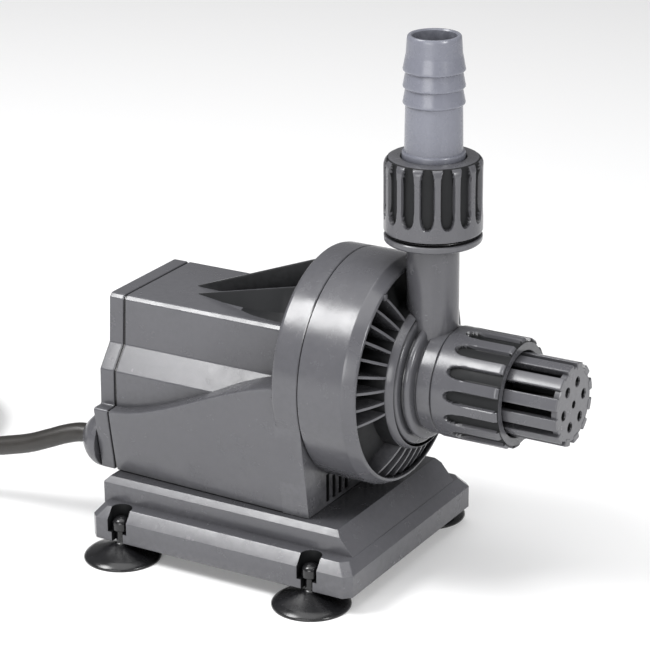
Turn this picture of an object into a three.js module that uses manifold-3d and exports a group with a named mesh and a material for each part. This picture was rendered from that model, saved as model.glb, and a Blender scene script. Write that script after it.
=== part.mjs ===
// Submersible fountain pump on a plinth with four suction cups. Millimetres, +Z up, +X towards the
// inlet strainer. The pump axis runs along X, the outlet axis along Z, and the floor is z = 0.
import * as THREE from "three";
import { mergeVertices } from "three/addons/utils/BufferGeometryUtils.js";
import Module from "manifold-3d";

const wasm = await Module();
wasm.setup();

// ---- driving dimensions -------------------------------------------------------------------------
const GAP = 0.3; // clearance between neighbouring pieces
const WALL = 2.5; // moulded wall
const CUP_HEIGHT = 7.5; // underside of the plinth above the floor
const AXIS_Z = 86.2; // pump axis above the floor

const RING_R = 47; // shroud ring outside radius
const RING_REAR_X = -37; // back of the ring on the housing
const RING_SPLIT_X = -24.6; // parting line between housing and shroud
const RIM_X = 0; // front rim of the shroud

const HOUSING_REAR_X = -119.2;
const COVER_FRONT_X = -120.3;
const COVER_REAR_X = -127.2;
const GLAND_TIP_X = -138.3;
const GLAND_Y = -27.8;
const GLAND_Z = 41.3;
const CORD_D = 8.2;

const PLINTH_X0 = -121.8;
const PLINTH_X1 = 1.8;
const PLINTH_HALF = 52.7; // flange half width
const FLANGE_TOP = 17.4; // top of the flange's upright wall
const FLANGE_FLAT = 21.5; // top of the flange's bevel
const PLINTH_TOP = 31;
const CUP_X = [-108.4, -17.7];
const CUP_Y = 49;

const OUTLET_X = 10.1;
const NECK_R = 10.4;
const DRUM_R = 28.6; // pump drum behind the shroud's hoop
const OUTLET_FLANGE_Z = 143.4;
const OUTLET_NUT_Z0 = 147.8;
const OUTLET_NUT_Z1 = 177.5;
const OUTLET_NUT_R = 19.4;
const OUTLET_TOP_Z = 225.4;

const INLET_NUT_X0 = 20.8;
const INLET_NUT_X1 = 49.6;
const INLET_NUT_R = 22.3;
const STRAINER_R = 16.7;
const STRAINER_X1 = 72.15;

const CAN_R = 15;
const CAN_REAR_X = -90;
const SHAFT_R = 2.5;
const STATOR_X0 = -80;
const STATOR_X1 = -43;

const SEG = 28; // facets round a large turned piece
const MID = 20; // facets round a medium one
const FINE = 12; // facets round a small one

// ---- helpers ------------------------------------------------------------------------------------
// A geometry as a solid, turned the right way out.
function solid(geometry) {
  const bare = geometry.clone();
  bare.deleteAttribute("normal");
  bare.deleteAttribute("uv");
  const merged = mergeVertices(bare, 1e-4);
  const triVerts = new Uint32Array(merged.index.array);
  const make = () =>
    new wasm.Manifold(
      new wasm.Mesh({ numProp: 3, vertProperties: merged.attributes.position.array, triVerts }),
    );
  const made = make();
  if (made.volume() > 0) return made;
  for (let i = 0; i < triVerts.length; i += 3) {
    [triVerts[i + 1], triVerts[i + 2]] = [triVerts[i + 2], triVerts[i + 1]];
  }
  return make();
}

const join = (...parts) => parts.reduce((a, b) => a.add(b));
const cut = (body, ...tools) => tools.reduce((a, b) => a.subtract(b), body);

const vectors = (points) => points.map(([a, b]) => new THREE.Vector2(a, b));

// A closed outline given in (Y, Z), pushed along X from x0 to x1.
function prismX(outline, x0, x1, steps = 1) {
  const g = new THREE.ExtrudeGeometry(new THREE.Shape(vectors(outline)), {
    depth: x1 - x0,
    steps,
    bevelEnabled: false,
  });
  const frame = new THREE.Matrix4().makeBasis(
    new THREE.Vector3(0, 1, 0),
    new THREE.Vector3(0, 0, 1),
    new THREE.Vector3(1, 0, 0),
  );
  return g.applyMatrix4(frame).translate(x0, 0, 0);
}

// A closed outline given in (X, Y), pushed along Z.
function prismZ(outline, z0, z1) {
  const g = new THREE.ExtrudeGeometry(new THREE.Shape(vectors(outline)), {
    depth: z1 - z0,
    bevelEnabled: false,
  });
  return g.translate(0, 0, z0);
}

// A closed outline given in (X, Z), pushed along Y.
function prismY(outline, y0, y1) {
  const g = new THREE.ExtrudeGeometry(new THREE.Shape(vectors(outline)), {
    depth: y1 - y0,
    bevelEnabled: false,
  });
  return g.rotateX(Math.PI / 2).translate(0, y1, 0);
}

const box = (x0, x1, y0, y1, z0, z1) =>
  solid(
    new THREE.BoxGeometry(x1 - x0, y1 - y0, z1 - z0).translate(
      (x0 + x1) / 2,
      (y0 + y1) / 2,
      (z0 + z1) / 2,
    ),
  );

// A profile of (x, radius) points turned round the pump axis.
function turnX(profile, seg = SEG, y = 0, z = AXIS_Z) {
  const points = vectors(profile.map(([x, r]) => [r, x]));
  return solid(new THREE.LatheGeometry(points, seg).rotateZ(-Math.PI / 2).translate(0, y, z));
}

// A profile of (radius, z) points turned round an upright axis.
function turnZ(profile, x, y, seg = SEG) {
  return solid(
    new THREE.LatheGeometry(vectors(profile), seg).rotateX(Math.PI / 2).translate(x, y, 0),
  );
}

const rodX = (r, x0, x1, y = 0, z = AXIS_Z, seg = SEG) =>
  turnX([[x0, 0], [x0, r], [x1, r], [x1, 0]], seg, y, z);
const rodZ = (r, z0, z1, x, y, seg = SEG) =>
  turnZ([[0, z0], [r, z0], [r, z1], [0, z1]], x, y, seg);
const tubeX = (r0, r1, x0, x1, seg = SEG) =>
  turnX([[x0, r0], [x0, r1], [x1, r1], [x1, r0], [x0, r0]], seg);

// Copies of a solid turned round the pump axis.
function roundX(piece, angles) {
  return angles.map((deg) =>
    piece.translate([0, 0, -AXIS_Z]).rotate([deg, 0, 0]).translate([0, 0, AXIS_Z]),
  );
}

// A polygon moved inwards by d; corners are where the moved edges meet.
function inset(outline, d) {
  const n = outline.length;
  const area = outline.reduce((sum, [x, y], i) => {
    const [u, v] = outline[(i + 1) % n];
    return sum + x * v - u * y;
  }, 0);
  const side = Math.sign(area) * d;
  const edges = outline.map(([x, y], i) => {
    const [u, v] = outline[(i + 1) % n];
    const length = Math.hypot(u - x, v - y);
    const nx = (-(v - y) / length) * side;
    const ny = ((u - x) / length) * side;
    return { x: x + nx, y: y + ny, dx: u - x, dy: v - y };
  });
  return edges.map((b, i) => {
    const a = edges[(i + n - 1) % n];
    const t = ((b.x - a.x) * b.dy - (b.y - a.y) * b.dx) / (a.dx * b.dy - a.dy * b.dx);
    return [a.x + a.dx * t, a.y + a.dy * t];
  });
}

// A round-ended slot outline, centred on the origin, long way along the second axis.
function slotOutline(width, length, arc = 3) {
  const r = width / 2;
  const h = length / 2 - r;
  const end = (cy, from) =>
    Array.from({ length: arc + 1 }, (_, i) => {
      const a = from + (Math.PI * i) / arc;
      return [r * Math.cos(a), cy + r * Math.sin(a)];
    });
  return [...end(h, 0), ...end(-h, Math.PI)];
}

const pump = new THREE.Group();

// Adds a solid to the pump as a named mesh with its own material.
function part(name, shape, colour, roughness, metalness = 0) {
  const made = shape.getMesh();
  const geometry = new THREE.BufferGeometry()
    .setAttribute("position", new THREE.BufferAttribute(made.vertProperties, 3))
    .setIndex(new THREE.BufferAttribute(made.triVerts, 1));
  geometry.computeVertexNormals();
  const material = new THREE.MeshStandardMaterial({ color: colour, roughness, metalness });
  const mesh = new THREE.Mesh(geometry, material);
  mesh.name = name;
  pump.add(mesh);
  return mesh;
}

const GREY = 0x6e6e73;
const PALE_GREY = 0x96989f;
const DARK = 0x2c2d30;
const BLACK = 0x151517;
const STEEL = 0xb8babd;

// ---- motor housing ------------------------------------------------------------------------------
const SHOULDER = [[26.5, 84.5], [34, 74.8], [34.3, 59.5]]; // the stepped side, from the top down
const FOOT = [35.4, PLINTH_TOP + GAP];
const SECTION_TOP = [[23.6, 105.3], [25.2, 103.6]];
const mirrored = (half) => [...half, ...half.map(([y, z]) => [-y, z]).reverse()];

const REAR_SECTION = mirrored([...SECTION_TOP, ...SHOULDER, [40, 59.5], FOOT]);
const CORE_SECTION = mirrored([...SECTION_TOP, ...SHOULDER, [34.3, FOOT[1]]]);

// The lower side panel widens and climbs towards the ring.
const FLARE_STEPS = 6;
function flareSkirt() {
  const outline = mirrored([[40, 59.5], FOOT]);
  const length = RING_REAR_X - HOUSING_REAR_X;
  const g = prismX(outline, HOUSING_REAR_X, RING_REAR_X + 0.5, FLARE_STEPS);
  const p = g.attributes.position;
  for (let i = 0; i < p.count; i++) {
    const t = Math.min(1, (p.getX(i) - HOUSING_REAR_X) / length);
    const top = p.getZ(i) > 50;
    const rise = top ? 27 * Math.pow(t, 1.2) : 0;
    const spread = top ? 6.8 * t : 2.9 * t;
    p.setY(i, p.getY(i) + Math.sign(p.getY(i)) * spread);
    p.setZ(i, p.getZ(i) + rise);
  }
  return solid(g);
}

// Stiffening ribs between the block's flat top and the ring.
function topRib(y0, y1, tipX, ringZ) {
  const rib = prismY(
    [[tipX, 103], [tipX, 105.4], [RING_REAR_X + 1, ringZ], [RING_REAR_X + 1, 103]],
    -1,
    1,
  );
  const p = rib.attributes.position;
  for (let i = 0; i < p.count; i++) {
    const t = (p.getX(i) - tipX) / (RING_REAR_X - tipX);
    p.setY(i, p.getY(i) + y0 + (y1 - y0) * t);
  }
  return solid(rib);
}

const COVER_SCREWS = [[19.5, 98], [-19.5, 98], [28.6, 66], [-28.6, 66]];
const BASE_SCREWS = [[-100, 22], [-100, -22], [-31, 20], [-31, -20]];
const CUP_INNER_R = 42.5; // inside of the housing's half of the ring

function motorHousing() {
  const core = solid(prismX(CORE_SECTION, HOUSING_REAR_X, RING_REAR_X + 1));
  const ring = rodX(RING_R, RING_REAR_X, RING_SPLIT_X - GAP);
  const toe = solid(
    prismX(mirrored([[46.6, 84], [38.3, FOOT[1]]]), RING_REAR_X, RING_SPLIT_X - GAP),
  );
  const ribs = [
    topRib(0, 0, -99.5, 129.2),
    topRib(8.1, 13.8, -94, 120.7),
    topRib(-8.1, -13.8, -94, 120.7),
  ];
  const shell = join(core, flareSkirt(), ring, toe, ...ribs);
  const hollow = solid(
    prismX(inset(CORE_SECTION, WALL), HOUSING_REAR_X - 1, RING_REAR_X - 0.5),
  );
  const cup = rodX(CUP_INNER_R, RING_REAR_X + 2.6, RING_SPLIT_X + 1);
  const canHole = rodX(CAN_R + 0.6, RING_REAR_X - 2, RING_SPLIT_X);
  const toeSlots = [8, 13, 18, 23].flatMap((y) =>
    [y, -y].map((at) =>
      box(RING_SPLIT_X - 2.5, RING_SPLIT_X + 1, at - 1.2, at + 1.2, 33, 45),
    ),
  );
  const bosses = COVER_SCREWS.map(([y, z]) => rodX(4, HOUSING_REAR_X, -105, y, z, 8));
  const pilots = COVER_SCREWS.map(([y, z]) => rodX(1.9, HOUSING_REAR_X - 1, -108, y, z, FINE));
  const posts = BASE_SCREWS.slice(0, 2).map(([x, y]) => rodZ(4, FOOT[1], 42, x, y, 8));
  const holes = BASE_SCREWS.map(([x, y]) => rodZ(1.9, FOOT[1] - 1, 38.5, x, y, FINE));
  const hollowed = cut(shell, hollow, cup, canHole, ...toeSlots);
  return cut(join(hollowed, ...bosses, ...posts), ...pilots, ...holes);
}
part("motor_housing", motorHousing(), GREY, 0.42);

// ---- rear cover, its seal, screws and the cable gland --------------------------------------------
const HEAD_DEPTH = 2.6;
function rearCover() {
  const shell = solid(prismX(REAR_SECTION, COVER_REAR_X, COVER_FRONT_X));
  const hollow = solid(prismX(inset(REAR_SECTION, WALL), COVER_REAR_X + 4.2, COVER_FRONT_X + 1));
  const glandHole = rodX(6, COVER_REAR_X - 1, COVER_FRONT_X + 1, GLAND_Y, GLAND_Z, 24);
  const pads = COVER_SCREWS.map(([y, z]) => rodX(4.5, COVER_REAR_X + 1, COVER_FRONT_X, y, z, 8));
  const holes = COVER_SCREWS.map(([y, z]) =>
    join(
      rodX(1.9, COVER_REAR_X - 1, COVER_FRONT_X + 1, y, z, FINE),
      rodX(3.5, COVER_REAR_X - 1, COVER_REAR_X + HEAD_DEPTH, y, z, FINE),
    ),
  );
  return cut(join(cut(shell, hollow), ...pads), glandHole, ...holes);
}
part("rear_cover", rearCover(), GREY, 0.42);

const sealBand = cut(
  solid(prismX(inset(REAR_SECTION, 0.6), COVER_FRONT_X + GAP, HOUSING_REAR_X - GAP)),
  solid(prismX(inset(REAR_SECTION, 2.3), COVER_FRONT_X, HOUSING_REAR_X)),
);
part("rear_cover_seal", sealBand, BLACK, 0.8);

// Pan-head screws along X, heads towards -X.
COVER_SCREWS.forEach(([y, z], i) => {
  const headX = COVER_REAR_X + 0.4;
  const seatX = COVER_REAR_X + HEAD_DEPTH - GAP;
  const screw = turnX(
    [[headX, 0], [headX, 3.1], [seatX, 3.1], [seatX, 1.5], [-109, 1.5], [-109, 0]],
    FINE,
    y,
    z,
  );
  part(`cover_screw_${i + 1}`, screw, STEEL, 0.3, 1);
});

const glandProfile = [
  [-121.5, 0], [-121.5, 5.6], [COVER_REAR_X - GAP, 5.6], [COVER_REAR_X - GAP, 10.6],
  [-130.8, 10.6], [-132.4, 9.4], [-133, 6.6], [GLAND_TIP_X, 5.2], [GLAND_TIP_X, 0],
];
part("cable_gland", turnX(glandProfile, 24, GLAND_Y, GLAND_Z), GREY, 0.5);

// ---- plinth and suction cups ---------------------------------------------------------------------
// A rectangle in (X, Y) with cut corners.
function cornered(x0, x1, half, c) {
  return [
    [x0 + c, -half], [x1 - c, -half], [x1, -half + c], [x1, half - c],
    [x1 - c, half], [x0 + c, half], [x0, half - c], [x0, -half + c],
  ];
}

// A slab whose top face is smaller than its foot by d on every side.
function bevelSlab(x0, x1, half, c, z0, z1, d) {
  const g = prismZ(cornered(x0, x1, half, c), z0, z1);
  const p = g.attributes.position;
  const mid = (x0 + x1) / 2;
  for (let i = 0; i < p.count; i++) {
    if (p.getZ(i) < z1 - 0.01) continue;
    p.setX(i, mid + (p.getX(i) - mid) * (1 - (2 * d) / (x1 - x0)));
    p.setY(i, p.getY(i) * (1 - d / half));
  }
  return solid(g);
}

const ARCH_HALF = 4.6;
const NECK_HALF = 2.75;
const NECK_TOP = 11.7;
function basePlate() {
  const flange = solid(
    prismZ(cornered(PLINTH_X0, PLINTH_X1, PLINTH_HALF, 3), CUP_HEIGHT, FLANGE_TOP),
  );
  const bevel = bevelSlab(PLINTH_X0, PLINTH_X1, PLINTH_HALF, 3, FLANGE_TOP, FLANGE_FLAT, 3.9);
  const ramp = prismY(
    [
      [-120.9, FLANGE_TOP], [-120.9, PLINTH_TOP - 2], [-118.9, PLINTH_TOP],
      [-9.9, PLINTH_TOP], [1.3, FLANGE_TOP],
    ],
    -43,
    43,
  );
  const sides = solid(
    prismX(
      mirrored([[40.8, PLINTH_TOP + 0.01], [43, PLINTH_TOP - 2.2], [43, FLANGE_TOP - 1]]),
      -130,
      10,
    ),
  );
  const hollow = bevelSlab(-116.5, -7, 39, 2, CUP_HEIGHT - 1, 27.5, 6);
  const webs = [-88, -58, -28].map((x) => box(x - 1.2, x + 1.2, -36, 36, CUP_HEIGHT + 1, 28));
  const lugs = BASE_SCREWS.map(([x, y]) => rodZ(5, 20, 28, x, y, 8));
  const body = join(cut(join(flange, bevel, solid(ramp).intersect(sides)), hollow), ...webs, ...lugs);
  const notches = CUP_X.flatMap((x) =>
    [1, -1].map((s) => {
      const y0 = s > 0 ? CUP_Y : -PLINTH_HALF - 1;
      const y1 = s > 0 ? PLINTH_HALF + 1 : -CUP_Y;
      return join(
        rodZ(ARCH_HALF, NECK_TOP, FLANGE_FLAT + 1, x, s * CUP_Y, 24),
        box(x - ARCH_HALF, x + ARCH_HALF, y0, y1, NECK_TOP, FLANGE_FLAT + 1),
        rodZ(NECK_HALF, CUP_HEIGHT - 1, NECK_TOP + 0.1, x, s * CUP_Y, 16),
        box(x - NECK_HALF, x + NECK_HALF, y0, y1, CUP_HEIGHT - 1, NECK_TOP + 0.1),
      );
    }),
  );
  const screwHoles = BASE_SCREWS.map(([x, y]) =>
    join(rodZ(1.9, 19, PLINTH_TOP + 1, x, y, FINE), rodZ(3.5, 19, 23, x, y, 8)),
  );
  return cut(body, ...notches, ...screwHoles);
}
part("base_plate", basePlate(), GREY, 0.42);

BASE_SCREWS.forEach(([x, y], i) => {
  const screw = turnZ(
    [[0, 20.6], [3.1, 20.6], [3.1, 22.7], [1.5, 22.7], [1.5, 38], [0, 38]],
    x,
    y,
    FINE,
  );
  part(`base_screw_${i + 1}`, screw, STEEL, 0.3, 1);
});

const cupProfile = [
  [0, 2.4], [9, 2], [15, 0], [16, 0], [16, 0.9], [14.4, 2.6], [4.8, 6], [2.4, 7.2],
  [2.4, NECK_TOP + 0.35], [3.75, NECK_TOP + 0.6], [3.75, 15.8], [2.2, 17.6], [0, 17.9],
];
[[0, -1], [0, 1], [1, -1], [1, 1]].forEach(([end, side], i) => {
  part(`suction_cup_${i + 1}`, turnZ(cupProfile, CUP_X[end], side * CUP_Y, FINE), BLACK, 0.5);
});

// ---- front shroud: ring, fins and inner hoop -------------------------------------------------------
// Angles are measured from the top, towards -Y.
const SECTORS = [65, 185, 305]; // centres of the finned sectors
const FIN_PITCH = 9.5;
const FINS = 9;
const FIN_HALF = 0.6;
const HOOP_IN = DRUM_R + GAP;
const HOOP_OUT = 30.4;
const SHROUD_BORE = 43.4;
const fromTop = (deg) => (deg * Math.PI) / 180;

// Everything between the hoop and the ring within one finned sector, as a tool.
function sectorTool() {
  const half = fromTop((FINS * FIN_PITCH) / 2);
  const reach = 60 * Math.tan(half);
  const wedge = solid(
    prismX([[0, AXIS_Z], [-reach, AXIS_Z + 60], [reach, AXIS_Z + 60]], -20, 10),
  );
  return wedge
    .subtract(rodX(HOOP_OUT - 0.4, -21, 11))
    .intersect(rodX(SHROUD_BORE + 0.5, -21, 11));
}

function frontShroud() {
  const ring = turnX([
    [RING_SPLIT_X, 38.5], [RING_SPLIT_X, RING_R], [-4.6, RING_R], [RIM_X, 44.6],
    [RIM_X, SHROUD_BORE], [RING_SPLIT_X + 2.6, SHROUD_BORE], [RING_SPLIT_X + 2.6, 38.5],
    [RING_SPLIT_X, 38.5],
  ]);
  const hoop = turnX([
    [-9, HOOP_IN], [-9, HOOP_OUT], [5.6, HOOP_OUT], [8.4, HOOP_IN + 0.4], [8.4, HOOP_IN],
    [-9, HOOP_IN],
  ]);
  const panel = turnX([
    [-6.5, 43.8], [-1, 29.8], [-2.6, 29.8], [-8.1, 43.8], [-6.5, 43.8],
  ]);
  const finOutline = [
    [-9.5, AXIS_Z + 44], [-2, AXIS_Z + 44], [2.6, AXIS_Z + 37], [5.4, AXIS_Z + 29.8],
    [-8.5, AXIS_Z + 29.8],
  ];
  const fin = solid(prismY(finOutline, -FIN_HALF, FIN_HALF));
  const finAngles = SECTORS.flatMap((centre) =>
    Array.from({ length: FINS }, (_, i) => centre + (i - (FINS - 1) / 2) * FIN_PITCH),
  );
  const grille = cut(join(ring, hoop, panel), ...roundX(sectorTool(), SECTORS));
  const neckRelief = rodZ(NECK_R + 0.4, AXIS_Z + 20, AXIS_Z + 60, OUTLET_X, 0, MID);
  return cut(join(grille, ...roundX(fin, finAngles)), neckRelief);
}
part("front_shroud", frontShroud(), GREY, 0.4);

// ---- pump head: volute casing, seals, impeller ------------------------------------------------------
const COLLAR_X = INLET_NUT_X0 - GAP; // face of the collar behind the inlet nut
const COLLAR_R = 21.9;
const CHAMBER_R = 26.2;
const INLET_BORE_R = 13.5;
const OUTLET_BORE_R = 7.6;
function voluteCasing() {
  const body = turnX([
    [-29.5, CHAMBER_R], [-29.5, 41], [-25, 41], [-25, DRUM_R], [6, DRUM_R], [7.6, 28],
    [8.6, 27.6], [9, 26.6], [9, 24.6], [12.4, 23.6], [13, 23], [13.2, COLLAR_R],
    [COLLAR_X, COLLAR_R], [COLLAR_X, 18], [38, 18], [38, INLET_BORE_R], [-4, INLET_BORE_R],
    [-4, CHAMBER_R], [-29.5, CHAMBER_R],
  ]);
  const neck = join(
    rodZ(NECK_R, AXIS_Z + 15, OUTLET_FLANGE_Z + 0.5, OUTLET_X, 0, MID)
      .subtract(rodX(15, -30, 40, 0, AXIS_Z))
      .subtract(box(COLLAR_X, 40, -20, 20, 90, 112)),
    turnZ(
      [
        [0, 142], [NECK_R, 142], [18.2, OUTLET_FLANGE_Z], [19.3, OUTLET_FLANGE_Z + 0.6],
        [19.3, OUTLET_FLANGE_Z + 2.8], [15.6, OUTLET_FLANGE_Z + 2.8], [15.6, 164], [0, 164],
      ],
      OUTLET_X,
      0,
    ),
  );
  const bore = rodZ(OUTLET_BORE_R, AXIS_Z + 18, 170, OUTLET_X, 0, 32);
  const passage = rodX(5, -20, OUTLET_X, 0, AXIS_Z + 21.4, 20);
  const arms = [0, 120, 240];
  const spider = join(
    rodX(6, -3.6, 4),
    ...roundX(box(-3, 2, -1.2, 1.2, AXIS_Z + 4, AXIS_Z + 14.5), arms),
  );
  const bushSeat = rodX(4.3, -5, 1.5, 0, AXIS_Z, FINE);
  return cut(join(cut(join(body, neck), bore, passage), spider), bushSeat);
}
part("volute_casing", voluteCasing(), GREY, 0.4);
part("volute_seal", tubeX(35, 38, -30.7, -29.8), BLACK, 0.7);

function impeller() {
  const hub = tubeX(2.8, 7, -27.7, -8.5);
  const disc = tubeX(6.5, 24.6, -26.5, -24.6);
  const vaneOutline = [];
  const sweep = 1.05;
  const steps = 4;
  for (const side of [0.9, -0.9]) {
    for (let i = 0; i <= steps; i++) {
      const k = side > 0 ? i / steps : 1 - i / steps;
      const r = 6 + 18.2 * k;
      const a = sweep * k;
      const offset = side / r;
      vaneOutline.push([r * Math.sin(a + offset), AXIS_Z + r * Math.cos(a + offset)]);
    }
  }
  const vane = solid(prismX(vaneOutline, -25, -10));
  return join(hub, disc, ...roundX(vane, [0, 60, 120, 180, 240, 300]));
}
part("impeller", impeller(), 0xd8d6cf, 0.45);

// ---- wet side of the motor ----------------------------------------------------------------------
part("rotor_magnet", tubeX(2.8, 12.4, -84, -28, MID), 0x3a3a3d, 0.5, 0.3);
part("rotor_shaft", rodX(SHAFT_R, -87.5, -0.2, 0, AXIS_Z, FINE), 0xe9e6dc, 0.2);
part("front_bearing_bush", tubeX(2.8, 4, -4.6, 1.2, FINE), 0x5b5148, 0.4);
part("rear_bearing_bush", tubeX(2.8, 6, -88.4, -84.6, FINE), 0x5b5148, 0.4);
function rotorCan() {
  const flange = tubeX(13.2, 41.4, -34, -31);
  const cup = turnX([
    [CAN_REAR_X, 0], [CAN_REAR_X, CAN_R], [-33, CAN_R], [-33, 13.2], [-84.3, 13.2],
    [-84.3, 6.3], [-88.8, 6.3], [-88.8, 0],
  ]);
  return join(flange, cup);
}
part("rotor_can", rotorCan(), DARK, 0.5);

// ---- dry side of the motor ----------------------------------------------------------------------
function statorCore() {
  const half = [
    [30, 36], [30, 46], [25, 46], [25, 71], [22, 76], [22, 101.4], [7, 101.4], [7, 76], [12.5, 71],
    [12.5, 46],
  ];
  const outline = [...half, ...half.map(([y, z]) => [-y, z]).reverse()];
  return cut(solid(prismX(outline, STATOR_X0, STATOR_X1)), rodX(CAN_R + 0.5, -95, -30));
}
part("stator_core", statorCore(), 0x77777c, 0.5, 0.8);
[["left", -1], ["right", 1]].forEach(([side, s]) => {
  const at = (y0, y1) => (s > 0 ? [y0, y1] : [-y1, -y0]);
  const bobbinWall = cut(
    join(
      box(STATOR_X0 - 1.6, STATOR_X1 + 1.6, ...at(10.9, 26.6), 47, 69.6),
      box(STATOR_X0 - 6, STATOR_X1 + 4, ...at(6.4, 31), 46.4, 47.6),
      box(STATOR_X0 - 6, STATOR_X1 + 4, ...at(6.4, 31), 68.6, 69.8),
    ),
    box(STATOR_X0 - GAP, STATOR_X1 + GAP, ...at(12.2, 25.3), 45, 72),
  );
  const winding = cut(
    box(STATOR_X0 - 5.5, STATOR_X1 + 3.6, ...at(6.8, 30.6), 47.9, 68.3),
    box(STATOR_X0 - 1.9, STATOR_X1 + 1.9, ...at(10.6, 26.9), 45, 72),
  );
  part(`bobbin_${side}`, bobbinWall, 0xd9d4c4, 0.5);
  part(`coil_${side}`, winding, 0xb0622c, 0.35, 0.8);
});

// ---- outlet: hose tail, union nut, seal -----------------------------------------------------------
const BARBS = [199, 205.5, 212];
function hoseTail() {
  const outer = [
    [8, 164.4], [15.6, 164.4], [15.6, 167.6], [12.4, 167.6], [12.4, 179.4], [11.4, 180],
    ...BARBS.flatMap((z) => [[11.1, z - 0.8], [12.1, z], [11.2, z + 5]]),
    [10.6, OUTLET_TOP_Z - 1.2], [10.1, OUTLET_TOP_Z], [8.6, OUTLET_TOP_Z], [8, 164.4],
  ];
  return turnZ(outer, OUTLET_X, 0, MID);
}
part("hose_tail", hoseTail(), PALE_GREY, 0.45);

const OUTLET_SLOTS = 15;
const OUTLET_SLOT_Z = [152.9, 177.2];
const OUTLET_SLOT_TURN = 8.7; // degrees from +Y to the first slot
function unionNut() {
  const shell = turnZ([
    [16.1, OUTLET_NUT_Z0], [18.9, OUTLET_NUT_Z0], [OUTLET_NUT_R, OUTLET_NUT_Z0 + 0.6],
    [OUTLET_NUT_R, OUTLET_NUT_Z1 - 3], [18.6, OUTLET_NUT_Z1 - 1], [16.8, OUTLET_NUT_Z1],
    [12.8, OUTLET_NUT_Z1], [12.8, 168], [16.1, 168], [16.1, OUTLET_NUT_Z0],
  ], OUTLET_X, 0, 2 * OUTLET_SLOTS);
  const outline = slotOutline(4.8, OUTLET_SLOT_Z[1] - OUTLET_SLOT_Z[0]);
  const mid = (OUTLET_SLOT_Z[0] + OUTLET_SLOT_Z[1]) / 2;
  const slot = solid(prismY(outline.map(([x, z]) => [x, z + mid]), 17.9, 21));
  const slots = Array.from({ length: OUTLET_SLOTS }, (_, i) =>
    slot
      .rotate([0, 0, (360 / OUTLET_SLOTS) * i + OUTLET_SLOT_TURN])
      .translate([OUTLET_X, 0, 0]),
  );
  return cut(shell, ...slots);
}
part("outlet_union_nut", unionNut(), GREY, 0.42);
const oRingProfile = [[16, 146.5], [18.3, 146.5], [18.3, 147.5], [16, 147.5], [16, 146.5]];
part("outlet_o_ring", turnZ(oRingProfile, OUTLET_X, 0, MID), BLACK, 0.6);

// ---- inlet: nut, seal, strainer ---------------------------------------------------------------------
const INLET_FLUTES = 14;
const FLUTE_SHIFT = 0.25; // the first flute, as a share of a pitch from the top
function inletNut() {
  const shell = turnX([
    [INLET_NUT_X0, 18.5], [INLET_NUT_X0, INLET_NUT_R - 0.5], [INLET_NUT_X0 + 0.5, INLET_NUT_R],
    [INLET_NUT_X1 - 1, INLET_NUT_R], [INLET_NUT_X1, INLET_NUT_R - 1], [INLET_NUT_X1, 17.2],
    [42.6, 17.2], [42.6, 18.5], [INLET_NUT_X0, 18.5],
  ], 2 * INLET_FLUTES);
  const outline = slotOutline(5.2, 26).map(([y, x]) => [x + 40.5, y]);
  const flute = solid(prismZ(outline, 0, 4)).translate([0, 0, AXIS_Z + 21]);
  const angles = Array.from(
    { length: INLET_FLUTES },
    (_, i) => (360 / INLET_FLUTES) * (i + FLUTE_SHIFT),
  );
  return cut(shell, ...roundX(flute, angles));
}
part("inlet_nut", inletNut(), GREY, 0.4);
part("inlet_o_ring", tubeX(14.4, 17, 38.3, 39.3, MID), BLACK, 0.6);

const STRAINER_SLOTS = 12;
const SLOT_SHIFT = -3; // degrees from the top to the first slot
const HOLE_RING_R = 9;
const HOLE_SHIFT = -20;
const SIX = [0, 60, 120, 180, 240, 300];
function strainerCage() {
  const shell = turnX(
    [
      [39.6, 13.6], [39.6, 18.1], [42.2, 18.1], [42.2, STRAINER_R],
      [STRAINER_X1 - 1, STRAINER_R], [STRAINER_X1, STRAINER_R - 0.8], [STRAINER_X1, 0],
      [STRAINER_X1 - 2.4, 0], [STRAINER_X1 - 2.4, 13.6], [39.6, 13.6],
    ],
    2 * STRAINER_SLOTS,
  );
  const slot = box(47, STRAINER_X1 - 2.6, -1.7, 1.7, AXIS_Z + 12.4, AXIS_Z + 20);
  const notch = box(STRAINER_X1 - 3, STRAINER_X1 + 1, -1.3, 1.3, AXIS_Z + 14.9, AXIS_Z + 20);
  const angles = Array.from(
    { length: STRAINER_SLOTS },
    (_, i) => (360 / STRAINER_SLOTS) * i + SLOT_SHIFT,
  );
  const web = box(47, STRAINER_X1 - 2, -0.6, 0.6, AXIS_Z + 2.6, AXIS_Z + 14);
  const hole = rodX(1.9, STRAINER_X1 - 5, STRAINER_X1 + 1, 0, AXIS_Z + HOLE_RING_R, 12);
  const centre = rodX(1.6, STRAINER_X1 - 5, STRAINER_X1 + 1, 0, AXIS_Z, 12);
  const slotted = cut(shell, ...roundX(slot, angles), ...roundX(notch, angles));
  const webbed = join(slotted, ...roundX(web, SIX.map((a) => a + HOLE_SHIFT + 30)));
  return cut(webbed, ...roundX(hole, SIX.map((a) => a + HOLE_SHIFT)), centre);
}
part("strainer_cage", strainerCage(), GREY, 0.4);

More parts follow.
